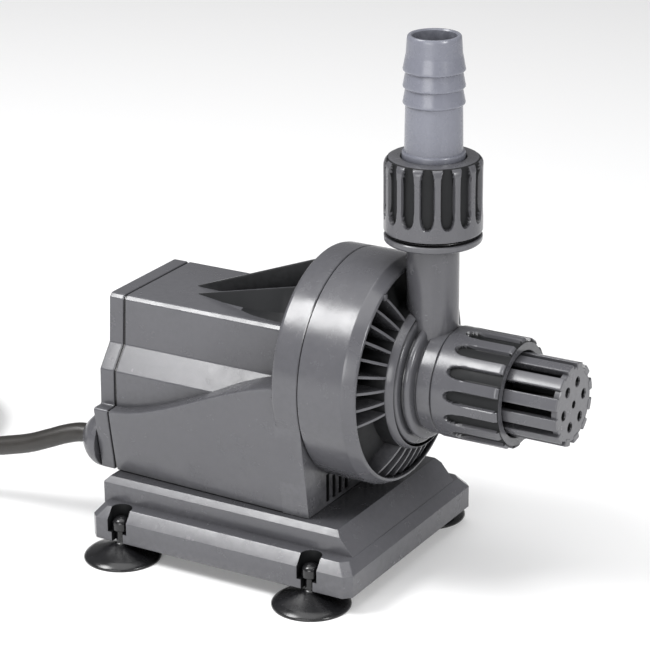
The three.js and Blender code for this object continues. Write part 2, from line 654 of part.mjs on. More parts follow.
// ---- power cord, its coil, tie and plug ------------------------------------------------------------
// The routes from the gland to the coil and from the coil to the plug, chosen by hand.
const CORD_POINTS = [
  [-138.9, -27.8, 41.3], [-143, -28.1, 40.9], [-149, -29.2, 39.3], [-157, -30.8, 36.2],
  [-166, -32, 32.7], [-176, -32.8, 29.9], [-188, -33.9, 27], [-200, -35.6, 24.3],
  [-213, -38, 21.4], [-226, -40.7, 18.8], [-240, -43.4, 16.2], [-254, -45.2, 14.2],
];
const TAIL_POINTS = [
  [-258.6, -46.7, 4.3], [-262.5, -53.3, 4.7], [-268.5, -60.3, 6.3], [-276.5, -66.1, 9.6],
  [-285.5, -69.2, 13.8], [-294, -69.8, 17], [-300.4, -69.8, 18.6],
];
const COIL_X = -288;
const COIL_Y = 6;
const COIL_MEAN_R = 43.6;
const COIL_WIDE = 3; // turns side by side, two layers high
const TIE_ANGLE = 120; // where the tie sits on the coil, degrees from +X
const PLUG_X = -301.5; // where the cord enters the plug
const PLUG_Y = -69.8;
const PLUG_Z = 18.8;
function circleSection(r, sides) {
  return new THREE.Shape(
    Array.from({ length: sides }, (_, i) => {
      const a = (2 * Math.PI * i) / sides;
      return new THREE.Vector2(r * Math.cos(a), r * Math.sin(a));
    }),
  );
}
function tubeAlong(points, d, sides, steps) {
  const curve = new THREE.CatmullRomCurve3(points.map((p) => new THREE.Vector3(...p)));
  return solid(
    new THREE.ExtrudeGeometry(circleSection(d / 2, sides), { steps, extrudePath: curve }),
  );
}
part("power_cord", tubeAlong(CORD_POINTS, CORD_D, 10, 8), BLACK, 0.6);
part("power_cord_tail", tubeAlong(TAIL_POINTS, CORD_D, 10, 5), BLACK, 0.6);

const coilHalf = (COIL_WIDE * CORD_D) / 2;
const coil = turnZ([
  [COIL_MEAN_R - coilHalf, 0.2], [COIL_MEAN_R + coilHalf, 0.2],
  [COIL_MEAN_R + coilHalf, 2 * CORD_D], [COIL_MEAN_R - coilHalf, 2 * CORD_D],
  [COIL_MEAN_R - coilHalf, 0.2],
], COIL_X, COIL_Y, SEG);
part("cord_coil", coil, BLACK, 0.6);

// The tie straddles the coil's section.
function coilTie() {
  const outer = box(-3, 3, -coilHalf - 1.8, coilHalf + 1.8, 0.2, 2 * CORD_D + 1.6);
  const inner = box(-4, 4, -coilHalf - 0.6, coilHalf + 0.6, -1, 2 * CORD_D + 0.4);
  return cut(outer, inner)
    .translate([0, COIL_MEAN_R, 0])
    .rotate([0, 0, TIE_ANGLE - 90])
    .translate([COIL_X, COIL_Y, 0]);
}
part("coil_tie", coilTie(), BLACK, 0.5);

const plugProfile = [
  [PLUG_X, 0], [PLUG_X, 5.4], [PLUG_X - 14, 7.4], [PLUG_X - 16, 11], [PLUG_X - 36, 13.5],
  [PLUG_X - 38, 18.6], [PLUG_X - 50, 18.6], [PLUG_X - 50, 0],
];
part("power_plug", turnX(plugProfile, MID, PLUG_Y, PLUG_Z), BLACK, 0.55);
[-9.5, 9.5].forEach((dy, i) => {
  const pin = rodX(2.4, PLUG_X - 69.3, PLUG_X - 50.3, PLUG_Y + dy, PLUG_Z, FINE);
  part(`plug_pin_${i + 1}`, pin, STEEL, 0.25, 1);
});

// ---- the whole pump stands with its own box centred on the origin -----------------------------------
pump.position.x = -(GLAND_TIP_X + STRAINER_X1) / 2;

export default pump;
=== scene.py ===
# A submersible fountain pump: moulded grey housing, finned intake shroud, two union nuts,
# barbed hose tail, plinth on suction cups, and a rubber mains cord wound into a coil.
import math

import bmesh
import bpy
from mathutils import Matrix, Vector


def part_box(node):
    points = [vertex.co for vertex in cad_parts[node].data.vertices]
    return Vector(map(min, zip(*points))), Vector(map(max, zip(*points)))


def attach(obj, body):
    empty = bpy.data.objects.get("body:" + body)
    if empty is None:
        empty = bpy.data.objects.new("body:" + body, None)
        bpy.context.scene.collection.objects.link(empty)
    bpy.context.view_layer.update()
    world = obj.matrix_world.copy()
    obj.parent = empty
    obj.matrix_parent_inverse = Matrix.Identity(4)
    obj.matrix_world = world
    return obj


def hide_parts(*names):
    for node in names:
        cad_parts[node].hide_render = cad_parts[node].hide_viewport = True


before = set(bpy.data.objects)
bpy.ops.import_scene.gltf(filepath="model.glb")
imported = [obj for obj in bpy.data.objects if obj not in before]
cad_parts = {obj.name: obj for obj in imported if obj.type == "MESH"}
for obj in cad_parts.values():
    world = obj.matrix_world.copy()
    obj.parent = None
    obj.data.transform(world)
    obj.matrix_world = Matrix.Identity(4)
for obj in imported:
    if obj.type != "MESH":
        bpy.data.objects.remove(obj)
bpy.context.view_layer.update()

# ---- places and sizes ----------------------------------------------------------------------------
# Shapes are drawn in millimetres. Their x is counted from the shroud's front rim, which the
# frame places; y and z are the row's own.
MM = 0.001


def box_mm(node):
    low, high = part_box(node)
    return Vector(low) / MM, Vector(high) / MM


HOOP_FRONT = 8.4  # the inner hoop stands this far in front of the rim
RIM_AT = box_mm("front_shroud")[1].x - HOOP_FRONT
AXIS_Z = sum(box_mm("inlet_nut")[i].z for i in (0, 1)) / 2
RING_R = (box_mm("front_shroud")[1].y - box_mm("front_shroud")[0].y) / 2
RING_SPLIT = box_mm("front_shroud")[0].x - RIM_AT
RING_REAR = -37.0
HOUSING_REAR = box_mm("motor_housing")[0].x - RIM_AT
COVER_FRONT = box_mm("rear_cover")[1].x - RIM_AT
COVER_REAR = box_mm("rear_cover")[0].x - RIM_AT
PLINTH_LOW, PLINTH_HIGH = box_mm("base_plate")
CUP_HEIGHT = PLINTH_LOW.z
PLINTH_TOP = PLINTH_HIGH.z
OUTLET_X = sum(box_mm("outlet_union_nut")[i].x for i in (0, 1)) / 2 - RIM_AT
STRAINER_X1 = box_mm("strainer_cage")[1].x - RIM_AT
GAP = 0.3
WALL = 2.5
ROUND = 128  # facets round a large turned piece
RING_ROUND = 160
SMALL_ROUND = 72


def place(x, y, z):
    """A point drawn in millimetres, in the row's frame in metres."""
    return Vector(((x + RIM_AT) * MM, y * MM, z * MM))


# ---- camera, light and floor ---------------------------------------------------------------------
CAMERA_AZIMUTH = math.radians(30.36)
CAMERA_ELEVATION = math.radians(20.58)
CAMERA_ROLL = math.radians(-0.48)
CAMERA_DISTANCE = 1.0712
CAMERA_AIM = Vector((-0.0099, 0.0067, 0.0959))
CAMERA_LENS = 145.55


def add_camera():
    data = bpy.data.cameras.new("camera")
    camera = bpy.data.objects.new("camera", data)
    bpy.context.scene.collection.objects.link(camera)
    back = Vector(
        (
            math.sin(CAMERA_AZIMUTH) * math.cos(CAMERA_ELEVATION),
            -math.cos(CAMERA_AZIMUTH) * math.cos(CAMERA_ELEVATION),
            math.sin(CAMERA_ELEVATION),
        )
    )
    turn = back.to_track_quat("Z", "Y").to_matrix().to_4x4()
    roll = Matrix.Rotation(CAMERA_ROLL, 4, "Z")
    camera.matrix_world = Matrix.Translation(CAMERA_AIM + back * CAMERA_DISTANCE) @ turn @ roll
    data.lens = CAMERA_LENS
    data.sensor_width = 36.0
    data.clip_start = 0.05
    data.clip_end = 20.0
    bpy.context.scene.camera = camera


def add_light(name, at, aim, size, power):
    data = bpy.data.lights.new(name, "AREA")
    data.shape = "RECTANGLE"
    data.size, data.size_y = size
    data.energy = power
    light = bpy.data.objects.new(name, data)
    bpy.context.scene.collection.objects.link(light)
    spot = Vector(at)
    look = (Vector(aim) - spot).to_track_quat("-Z", "Y").to_matrix().to_4x4()
    light.matrix_world = Matrix.Translation(spot) @ look


def add_studio():
    aim = (0.0, 0.0, 0.09)
    add_light("high_softbox", (-0.67, -0.63, 1.15), aim, (0.50, 0.50), 14.5)
    add_light("side_fill", (0.15, -1.6, 0.5), aim, (1.0, 0.6), 10.0)
    add_light("right_softbox", (1.15, -0.35, 0.7), aim, (0.3, 0.4), 9.0)
    add_light("ceiling", (0.0, -0.4, 2.2), (0.0, -0.4, 0.0), (2.0, 2.0), 30.0)
    bpy.context.scene.view_settings.view_transform = "Standard"
    world = bpy.data.worlds.new("studio")
    bpy.context.scene.world = world
    world.use_nodes = True
    background = world.node_tree.nodes["Background"]
    background.inputs["Color"].default_value = (0.985, 0.985, 1.0, 1)
    background.inputs["Strength"].default_value = 0.26


add_camera()
add_studio()


# Painted shade: the reach over which nooks get a darker colour.
NOOK_SHADE_REACH = 0.022  # metres over which a nook darkens


# ---- shader groups -------------------------------------------------------------------------------
def new_group(name, inputs, outputs):
    group = bpy.data.node_groups.new(name, "ShaderNodeTree")
    for label, kind, value in inputs:
        socket = group.interface.new_socket(label, in_out="INPUT", socket_type=kind)
        socket.default_value = value
    for label, kind in outputs:
        group.interface.new_socket(label, in_out="OUTPUT", socket_type=kind)
    return group, group.nodes.new("NodeGroupInput"), group.nodes.new("NodeGroupOutput")


def wire(tree, pairs):
    for source, target in pairs:
        tree.links.new(source, target)


def noise(tree, vector, scale, detail=4.0, rough=0.55):
    node = tree.nodes.new("ShaderNodeTexNoise")
    node.inputs["Scale"].default_value = scale
    node.inputs["Detail"].default_value = detail
    node.inputs["Roughness"].default_value = rough
    tree.links.new(vector, node.inputs["Vector"])
    return node


def span(tree, value, low, high, to_low, to_high):
    node = tree.nodes.new("ShaderNodeMapRange")
    node.inputs["From Min"].default_value = low
    node.inputs["From Max"].default_value = high
    node.inputs["To Min"].default_value = to_low
    node.inputs["To Max"].default_value = to_high
    tree.links.new(value, node.inputs["Value"])
    return node.outputs["Result"]


def mix_colour(tree, factor, a, b, blend="MIX"):
    node = tree.nodes.new("ShaderNodeMix")
    node.data_type = "RGBA"
    node.blend_type = blend
    for value, key in ((factor, 0), (a, 6), (b, 7)):
        if isinstance(value, (int, float, tuple)):
            node.inputs[key].default_value = value
        else:
            tree.links.new(value, node.inputs[key])
    return node.outputs[2]


def maths(tree, operation, a, b):
    node = tree.nodes.new("ShaderNodeMath")
    node.operation = operation
    for value, key in ((a, 0), (b, 1)):
        if isinstance(value, (int, float)):
            node.inputs[key].default_value = value
        else:
            tree.links.new(value, node.inputs[key])
    return node.outputs[0]


def even_grey(tree, value):
    """A grey colour from one value."""
    node = tree.nodes.new("ShaderNodeCombineColor")
    wire(tree, [(value, socket) for socket in node.inputs])
    return node.outputs[0]


def age_and_painted_light_group():
    """Mottled colour, painted shade in nooks and rubbed edges lightened partly as a painted highlight,
    over any base colour.
    """
    group, source, sink = new_group(
        "age_and_painted_light",
        [
            ("Colour", "NodeSocketColor", (0.2, 0.2, 0.2, 1)),
            ("Worn And Highlit Colour", "NodeSocketColor", (0.4, 0.4, 0.4, 1)),
            ("Roughness", "NodeSocketFloat", 0.4),
            ("Mottle", "NodeSocketFloat", 0.1),
            ("Edge Wear And Highlight", "NodeSocketFloat", 0.3),
        ],
        [("Colour", "NodeSocketColor"), ("Roughness", "NodeSocketFloat")],
    )
    where = group.nodes.new("ShaderNodeTexCoord").outputs["Object"]
    broad = noise(group, where, 28.0, 5.0)
    fine = noise(group, where, 420.0, 3.0)
    patch = span(group, broad.outputs["Fac"], 0.3, 0.7, -1.0, 1.0)
    speck = span(group, fine.outputs["Fac"], 0.3, 0.7, -0.5, 0.5)
    both = maths(group, "ADD", patch, speck)
    shade = maths(group, "ADD", maths(group, "MULTIPLY", both, source.outputs["Mottle"]), 1.0)
    mottled_and_painted_shade = mix_colour(group, 1.0, source.outputs["Colour"], even_grey(group, shade), "MULTIPLY")
    # Painted shade: an ambient-occlusion probe darkens the colour in nooks, creases and gaps.
    nook_shade_probe = group.nodes.new("ShaderNodeAmbientOcclusion")
    nook_shade_probe.samples = 6
    nook_shade_probe.inputs["Distance"].default_value = NOOK_SHADE_REACH
    painted_nook_shade = span(group, nook_shade_probe.outputs["AO"], 0.25, 0.85, 0.3, 1.0)
    mottled_and_painted_shade = mix_colour(group, 1.0, mottled_and_painted_shade, even_grey(group, painted_nook_shade), "MULTIPLY")
    # Rubbed edges: the worn colour on sharp edges is partly real wear and partly a painted edge
    # highlight.
    shape = group.nodes.new("ShaderNodeNewGeometry")
    edge = span(group, shape.outputs["Pointiness"], 0.515, 0.60, 0.0, 1.0)
    broken = maths(group, "MULTIPLY", edge, span(group, fine.outputs["Fac"], 0.35, 0.6, 0.3, 1.0))
    rubbed_and_highlit = maths(group, "MULTIPLY", broken, source.outputs["Edge Wear And Highlight"])
    coloured = mix_colour(group, rubbed_and_highlit, mottled_and_painted_shade, source.outputs["Worn And Highlit Colour"])
    scuffs = noise(group, where, 90.0, 8.0, 0.7)
    dull = span(group, scuffs.outputs["Fac"], 0.35, 0.7, -0.07, 0.09)
    rough = maths(group, "ADD", source.outputs["Roughness"], dull)
    wire(group, [(coloured, sink.inputs["Colour"]), (rough, sink.inputs["Roughness"])])
    return group


def fine_grain_group():
    """The height of a moulded surface: fine grain with a slow waviness, and stray scratches."""
    group, source, sink = new_group(
        "fine_grain",
        [
            ("Grain Scale", "NodeSocketFloat", 900.0),
            ("Grain", "NodeSocketFloat", 0.5),
            ("Wave", "NodeSocketFloat", 0.5),
            ("Scratches", "NodeSocketFloat", 0.3),
        ],
        [("Height", "NodeSocketFloat")],
    )
    where = group.nodes.new("ShaderNodeTexCoord").outputs["Object"]
    grain = noise(group, where, 900.0, 2.0)
    wire(group, [(source.outputs["Grain Scale"], grain.inputs["Scale"])])
    wave = noise(group, where, 35.0, 2.0)
    stretched = group.nodes.new("ShaderNodeMapping")
    stretched.inputs["Rotation"].default_value = (0.3, 0.5, 0.9)
    stretched.inputs["Scale"].default_value = (1.0, 14.0, 14.0)
    wire(group, [(where, stretched.inputs["Vector"])])
    lines = noise(group, stretched.outputs["Vector"], 90.0, 6.0, 0.8)
    scratch = span(group, lines.outputs["Fac"], 0.66, 0.72, 0.0, -1.0)
    total = maths(group, "MULTIPLY", grain.outputs["Fac"], source.outputs["Grain"])
    for height, share in ((wave.outputs["Fac"], "Wave"), (scratch, "Scratches")):
        total = maths(group, "ADD", total, maths(group, "MULTIPLY", height, source.outputs[share]))
    wire(group, [(total, sink.inputs["Height"])])
    return group


AGE_AND_PAINTED_LIGHT = age_and_painted_light_group()
FINE_GRAIN = fine_grain_group()


def material(
    name, colour, rubbed_and_highlit, rough, mottle=0.06, edge_wear_and_highlight=0.35, grain=0.5, grain_scale=900.0,
    scratches=0.3, bump=0.15, metallic=0.0, coat=0.0, specular=0.5,
):
    """A moulded, metal or rubber finish built from the two shared groups."""
    made = bpy.data.materials.new(name)
    made.use_nodes = True
    tree = made.node_tree
    shader = tree.nodes["Principled BSDF"]
    age_and_light = tree.nodes.new("ShaderNodeGroup")
    age_and_light.node_tree = AGE_AND_PAINTED_LIGHT
    relief = tree.nodes.new("ShaderNodeGroup")
    relief.node_tree = FINE_GRAIN
    for node, socket, value in (
        (shader, "Metallic", metallic), (shader, "Specular IOR Level", specular),
        (shader, "Coat Weight", coat), (shader, "Coat Roughness", 0.25),
        (age_and_light, "Colour", (*colour, 1)), (age_and_light, "Worn And Highlit Colour", (*rubbed_and_highlit, 1)),
        (age_and_light, "Roughness", rough), (age_and_light, "Mottle", mottle), (age_and_light, "Edge Wear And Highlight", edge_wear_and_highlight),
        (relief, "Grain Scale", grain_scale), (relief, "Grain", grain),
        (relief, "Scratches", scratches),
    ):
        node.inputs[socket].default_value = value
    raised = tree.nodes.new("ShaderNodeBump")
    raised.inputs["Strength"].default_value = bump
    raised.inputs["Distance"].default_value = 0.0004
    wire(
        tree,
        [
            (age_and_light.outputs["Colour"], shader.inputs["Base Color"]),
            (age_and_light.outputs["Roughness"], shader.inputs["Roughness"]),
            (relief.outputs["Height"], raised.inputs["Height"]),
            (raised.outputs["Normal"], shader.inputs["Normal"]),
        ],
    )
    return made


GREY_ABS = material(
    "grey_abs", (0.080, 0.080, 0.088), (0.17, 0.17, 0.18), 0.23, mottle=0.03, edge_wear_and_highlight=0.2,
    scratches=0.02, bump=0.035,
)
# Painted shade: the same grey plastic made near black, for recesses, gaps and faces behind other
# parts.
GREY_PAINTED_SHADE = material(
    "grey_abs_painted_shade", (0.010, 0.0105, 0.0115), (0.03, 0.03, 0.032), 0.5, mottle=0.05,
    scratches=0.0, bump=0.04, specular=0.2,
)
PALE_ABS = material(
    "pale_grey_abs", (0.155, 0.16, 0.19), (0.30, 0.31, 0.35), 0.27, mottle=0.04,
    scratches=0.0, bump=0.05,
)
DARK_PLASTIC = material("dark_plastic", (0.030, 0.030, 0.032), (0.12, 0.12, 0.12), 0.45)
BLACK_RUBBER = material(
    "black_rubber", (0.008, 0.008, 0.009), (0.03, 0.03, 0.03), 0.26, mottle=0.12, edge_wear_and_highlight=0.2,
    grain=0.3,
)
CORD_RUBBER = material(
    "cord_rubber", (0.020, 0.018, 0.016), (0.06, 0.055, 0.05), 0.42, mottle=0.15, edge_wear_and_highlight=0.2,
    grain=0.8, grain_scale=1500.0, bump=0.25,
)
STEEL = material(
    "stainless_steel", (0.55, 0.56, 0.57), (0.8, 0.8, 0.8), 0.28, metallic=1.0, mottle=0.05,
    grain=0.4, grain_scale=2500.0,
)
PLATED_BRASS = material(
    "plug_brass", (0.62, 0.61, 0.58), (0.8, 0.72, 0.5), 0.2, metallic=1.0, mottle=0.05, edge_wear_and_highlight=0.5,
)
IRON = material(
    "laminated_iron", (0.17, 0.17, 0.175), (0.4, 0.4, 0.4), 0.45, metallic=0.8, grain=0.8,
    grain_scale=600.0,
)
COPPER = material(
    "enamelled_copper", (0.42, 0.13, 0.05), (0.6, 0.3, 0.16), 0.3, metallic=0.85, coat=0.4,
)
CERAMIC = material("ceramic", (0.78, 0.75, 0.69), (0.85, 0.83, 0.8), 0.15, coat=0.5, bump=0.03)
FERRITE = material("ferrite", (0.030, 0.030, 0.034), (0.12, 0.12, 0.13), 0.42, grain=0.8, bump=0.25)
WHITE_PLASTIC = material("impeller_white", (0.62, 0.60, 0.55), (0.75, 0.74, 0.7), 0.38)
NYLON = material("bobbin_nylon", (0.62, 0.56, 0.42), (0.72, 0.68, 0.56), 0.42)
CARBON = material("carbon_bush", (0.035, 0.032, 0.030), (0.12, 0.11, 0.1), 0.4)


# ---- shape helpers -------------------------------------------------------------------------------
def clean(bm):
    bmesh.ops.remove_doubles(bm, verts=bm.verts, dist=0.002)
    bmesh.ops.dissolve_degenerate(bm, dist=0.001, edges=bm.edges)
    bmesh.ops.recalc_face_normals(bm, faces=bm.faces)
    return bm


def turned(profile, axis="X", seg=ROUND, y=0.0, z=None, x=0.0):
    """A closed shape spun from (along, radius) points about an axis parallel to X or Z."""
    bm = bmesh.new()
    if axis == "X":
        centre = Vector((0, y, AXIS_Z if z is None else z))
        points = [centre + Vector((a, 0, r)) for a, r in profile]
        direction = (1, 0, 0)
    else:
        centre = Vector((x, y, 0))
        points = [centre + Vector((0, r, a)) for a, r in profile]
        direction = (0, 0, 1)
    verts = [bm.verts.new(p) for p in points]
    edges = [bm.edges.new(pair) for pair in zip(verts, verts[1:])]
    on_axis = profile[0][1] == 0 and profile[-1][1] == 0
    if not on_axis:
        edges.append(bm.edges.new((verts[-1], verts[0])))
    bmesh.ops.spin(
        bm, geom=verts + edges, cent=centre, axis=direction, angle=2 * math.pi, steps=seg,
        use_merge=True, use_duplicate=False,
    )
    return clean(bm)


def pushed(outline, plane, low, high):
    """A flat outline pushed between two heights. plane names the outline's two axes."""
    bm = bmesh.new()
    first, second = ("XYZ".index(letter) for letter in plane)
    across = 3 - first - second
    corners = []
    for a, b in outline:
        corner = Vector((0, 0, 0))
        corner[first], corner[second], corner[across] = a, b, low
        corners.append(bm.verts.new(corner))
    face = bm.faces.new(corners)
    way = Vector((0, 0, 0))
    way[across] = high - low
    grown = bmesh.ops.extrude_face_region(bm, geom=[face])
    moved = [g for g in grown["geom"] if isinstance(g, bmesh.types.BMVert)]
    bmesh.ops.translate(bm, verts=moved, vec=way)
    return clean(bm)


def lofted(sections):
    """A solid through outlines of equal point counts, given as lists of (x, y, z)."""
    bm = bmesh.new()
    face = bm.faces.new([bm.verts.new(p) for p in sections[0]])
    for section in sections[1:]:
        grown = bmesh.ops.extrude_face_region(bm, geom=[face])
        new_faces = [g for g in grown["geom"] if isinstance(g, bmesh.types.BMFace)]
        if face.is_valid and len(sections) > 2 and section is not sections[1]:
            bmesh.ops.delete(bm, geom=[face], context="FACES_ONLY")
        face = new_faces[0]
        for vert, point in zip([loop.vert for loop in face.loops], section):
            vert.co = point
    return clean(bm)


def block(x0, x1, y0, y1, z0, z1):
    bm = bmesh.new()
    bmesh.ops.create_cube(bm, size=1.0)
    bmesh.ops.scale(bm, verts=bm.verts, vec=(x1 - x0, y1 - y0, z1 - z0))
    bmesh.ops.translate(bm, verts=bm.verts, vec=((x0 + x1) / 2, (y0 + y1) / 2, (z0 + z1) / 2))
    return bm


def rounded_outline(points, radii, steps=5):
    """A polygon whose corners are turned to arcs of the given radii."""
    out = []
    count = len(points)
    for i, corner in enumerate(points):
        here = Vector(corner)
        before = (Vector(points[i - 1]) - here).normalized()
        after = (Vector(points[(i + 1) % count]) - here).normalized()
        radius = radii[i] if isinstance(radii, (list, tuple)) else radii
        if radius <= 0:
            out.append(tuple(here))
            continue
        half = before.angle(after) / 2
        back = radius / math.tan(half)
        start, end = here + before * back, here + after * back
        middle = here + (before + after).normalized() * (radius / math.sin(half))
        a0 = (start - middle).to_tuple()
        first = math.atan2(a0[1], a0[0])
        last = math.atan2((end - middle).y, (end - middle).x)
        turn = (last - first + math.pi) % (2 * math.pi) - math.pi
        for k in range(steps + 1):
            angle = first + turn * k / steps
            out.append((middle.x + radius * math.cos(angle), middle.y + radius * math.sin(angle)))
    return out


def smooth_step(t):
    t = min(1.0, max(0.0, t))
    return t * t * (3 - 2 * t)


def mirrored(half):
    return list(half) + [(-a, b) for a, b in reversed(half)]


def inset_outline(outline, d):
    """A polygon moved inwards by d."""
    count = len(outline)
    area = sum(
        outline[i][0] * outline[(i + 1) % count][1] - outline[(i + 1) % count][0] * outline[i][1]
        for i in range(count)
    )
    side = math.copysign(d, area)
    lines = []
    for i in range(count):
        a, b = Vector(outline[i]), Vector(outline[(i + 1) % count])
        run = (b - a).normalized()
        lines.append((a + Vector((-run.y, run.x)) * side, run))
    out = []
    for i in range(count):
        (p, u), (q, v) = lines[i - 1], lines[i]
        t = (q - p).cross(v) / u.cross(v)
        out.append(tuple(p + u * t))
    return out


def merged(shapes):
    """Several shapes put side by side in one bmesh."""
    out = bmesh.new()
    for shape in shapes:
        mesh = bpy.data.meshes.new("part")
        shape.to_mesh(mesh)
        shape.free()
        out.from_mesh(mesh)
        bpy.data.meshes.remove(mesh)
    return out


def turned_copies(shape, angles):
    """Copies of a shape turned round the pump axis, by angles from the top towards -Y."""
    centre = Vector((0, 0, AXIS_Z))
    out = []
    for degrees in angles:
        copy = shape.copy()
        spin = Matrix.Rotation(math.radians(degrees), 3, "X")
        bmesh.ops.rotate(copy, verts=copy.verts, cent=centre, matrix=spin)
        out.append(copy)
    shape.free()
    return out


def combine(bm, tool, operation):
    """One shape cut by, joined with or kept inside another; both are used up."""
    holders = []
    for index, shape in enumerate((bm, tool)):
        mesh = bpy.data.meshes.new(f"work_{index}")
        shape.to_mesh(mesh)
        shape.free()
        holder = bpy.data.objects.new(f"work_{index}", mesh)
        bpy.context.scene.collection.objects.link(holder)
        holders.append(holder)
    work, other = holders
    step = work.modifiers.new("combine", "BOOLEAN")
    step.object = other
    step.operation = operation
    step.solver = "EXACT"
    graph = bpy.context.evaluated_depsgraph_get()
    result = bmesh.new()
    result.from_mesh(work.evaluated_get(graph).to_mesh())
    work.evaluated_get(graph).to_mesh_clear()
    for holder in holders:
        mesh = holder.data
        bpy.data.objects.remove(holder)
        bpy.data.meshes.remove(mesh)
    bmesh.ops.remove_doubles(result, verts=result.verts, dist=0.003)
    bmesh.ops.dissolve_degenerate(result, dist=0.002, edges=result.edges)
    return result


def cut(bm, *tools):
    for tool in tools:
        bm = combine(bm, tool, "DIFFERENCE")
    return bm


SHARP = 32  # degrees


def mark_painted_shade(bm, where=None):
    """Marks the faces that get the piece's second finish, a near-black grey that paints shade into
    recesses, gaps and faces behind other parts.
    """
    for face in bm.faces:
        if where is None or where(face.calc_center_median()):
            face.material_index = 1
    return bm


def from_axis(c):
    """A point's distance from the pump axis."""
    return math.hypot(c.y, c.z - AXIS_Z)


def from_outlet(c):
    """A point's distance from the outlet's axis."""
    return math.hypot(c.x - OUTLET_X, c.y)


def add_piece(name, bm, finish, nodes, body="pump", shaded=None):
    """Turns a shape drawn in millimetres into a finished piece that rides on its body."""
    bmesh.ops.translate(bm, verts=bm.verts, vec=(RIM_AT, 0, 0))
    bmesh.ops.scale(bm, verts=bm.verts, vec=(MM, MM, MM))
    mesh = bpy.data.meshes.new(name)
    bm.to_mesh(mesh)
    bm.free()
    mesh.materials.append(finish)
    if shaded:
        mesh.materials.append(shaded)
    mesh.shade_smooth()
    mesh.set_sharp_from_angle(angle=math.radians(SHARP))
    piece = bpy.data.objects.new(name, mesh)
    bpy.context.scene.collection.objects.link(piece)
    weights = piece.modifiers.new("even_shading", "WEIGHTED_NORMAL")
    weights.keep_sharp = True
    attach(piece, body)
    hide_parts(*nodes)
    return piece


# ---- power cord ----------------------------------------------------------------------------------
CORD_D = 8.2
CORD_POINTS = [
    (-138.9, -27.8, 41.3), (-143, -28.1, 40.9), (-149, -29.2, 39.3), (-157, -30.8, 36.2),
    (-166, -32, 32.7), (-176, -32.8, 29.9), (-188, -33.9, 27), (-200, -35.6, 24.3),
    (-213, -38, 21.4), (-226, -40.7, 18.8), (-240, -43.4, 16.2), (-254, -45.2, 14.2),
]
TAIL_POINTS = [
    (-258.6, -46.7, 4.3), (-262.5, -53.3, 4.7), (-268.5, -60.3, 6.3), (-276.5, -66.1, 9.6),
    (-285.5, -69.2, 13.8), (-294, -69.8, 17), (-300.4, -69.8, 18.6),
]
COIL_X, COIL_Y = -288.0, 6.0
COIL_R = 43.6
COIL_STEPS = 18
LAST_TURN = 300 / 360
CROSS_OVER = 0.18  # share of a turn in which the cord moves to the next place
LAYER_LOW = CORD_D / 2 + 0.15
LAYER_HIGH = LAYER_LOW + CORD_D


def coil_points():
    """Clockwise from the cord's arrival: the top layer inwards, then the bottom layer outwards."""
    cells = [
        (COIL_R + CORD_D, LAYER_HIGH), (COIL_R, LAYER_HIGH), (COIL_R - CORD_D, LAYER_HIGH),
        (COIL_R - CORD_D, LAYER_LOW), (COIL_R, LAYER_LOW), (COIL_R + CORD_D, LAYER_LOW),
    ]
    count = round((len(cells) - 1 + LAST_TURN) * COIL_STEPS)
    points = []
    for i in range(count + 1):
        turns = i / COIL_STEPS
        cell = min(int(turns), len(cells) - 1)
        share = turns - cell
        here, following = cells[cell], cells[min(cell + 1, len(cells) - 1)]
        ease = smooth_step((share - 1 + CROSS_OVER) / CROSS_OVER)
        radius = here[0] + (following[0] - here[0]) * ease
        height = here[1] + (following[1] - here[1]) * ease
        angle = math.radians(270 - 360 * turns)
        x, y = COIL_X + radius * math.cos(angle), COIL_Y + radius * math.sin(angle)
        points.append((x, y, height))
    return points


def power_cord():
    """The cord's smooth line, from the gland round the coil to the plug."""
    meets_coil = (COIL_X + 16, COIL_Y - COIL_R - CORD_D, 13.1)
    route = CORD_POINTS + [meets_coil] + coil_points() + TAIL_POINTS
    data = bpy.data.curves.new("power_cord", "CURVE")
    data.dimensions = "3D"
    data.bevel_depth = CORD_D / 2 * MM
    data.bevel_resolution = 6
    data.resolution_u = 6
    data.use_fill_caps = True
    spline = data.splines.new("BEZIER")
    spline.bezier_points.add(len(route) - 1)
    for point, (x, y, z) in zip(spline.bezier_points, route):
        point.co = place(x, y, z)
        point.handle_left_type = point.handle_right_type = "AUTO"
    data.materials.append(CORD_RUBBER)
    piece = bpy.data.objects.new("power_cord_piece", data)
    bpy.context.scene.collection.objects.link(piece)
    return piece


cord = power_cord()


# ---- finishing helpers ---------------------------------------------------------------------------
def soften(bm, width, segments=2, angle=32):
    """Rounds every edge sharper than the angle."""
    edges = [
        e for e in bm.edges
        if len(e.link_faces) == 2 and e.calc_face_angle(0) > math.radians(angle)
    ]
    bmesh.ops.bevel(
        bm, geom=edges, offset=width, offset_type="OFFSET", segments=segments, profile=0.5,
        affect="EDGES", clamp_overlap=True, material=-1,
    )
    return bm


# ---- motor housing -------------------------------------------------------------------------------
FOOT_Z = PLINTH_TOP + GAP
SKIRT_TOP = (40.0, 59.5)
SKIRT_FOOT = (35.4, FOOT_Z)
UPPER_HALF = [(23.6, 105.3), (25.2, 103.6), (26.5, 84.5), (34, 74.8), (34.3, 59.5)]
COVER_SECTION = mirrored(UPPER_HALF + [SKIRT_TOP, SKIRT_FOOT])
CORE_SECTION = mirrored(UPPER_HALF + [(34.3, FOOT_Z)])
UPPER_RADII = [1.6, 0.8, 1.2, 1.5, 0.8]
TOP_Z = 105.5
RIB_FOOT_Z = 104.0
GLAND_Y, GLAND_Z = -27.8, 41.3
COVER_SCREWS = [(19.5, 98), (-19.5, 98), (28.6, 66), (-28.6, 66)]
BASE_SCREWS = [(-100, 22), (-100, -22), (-31, 20), (-31, -20)]


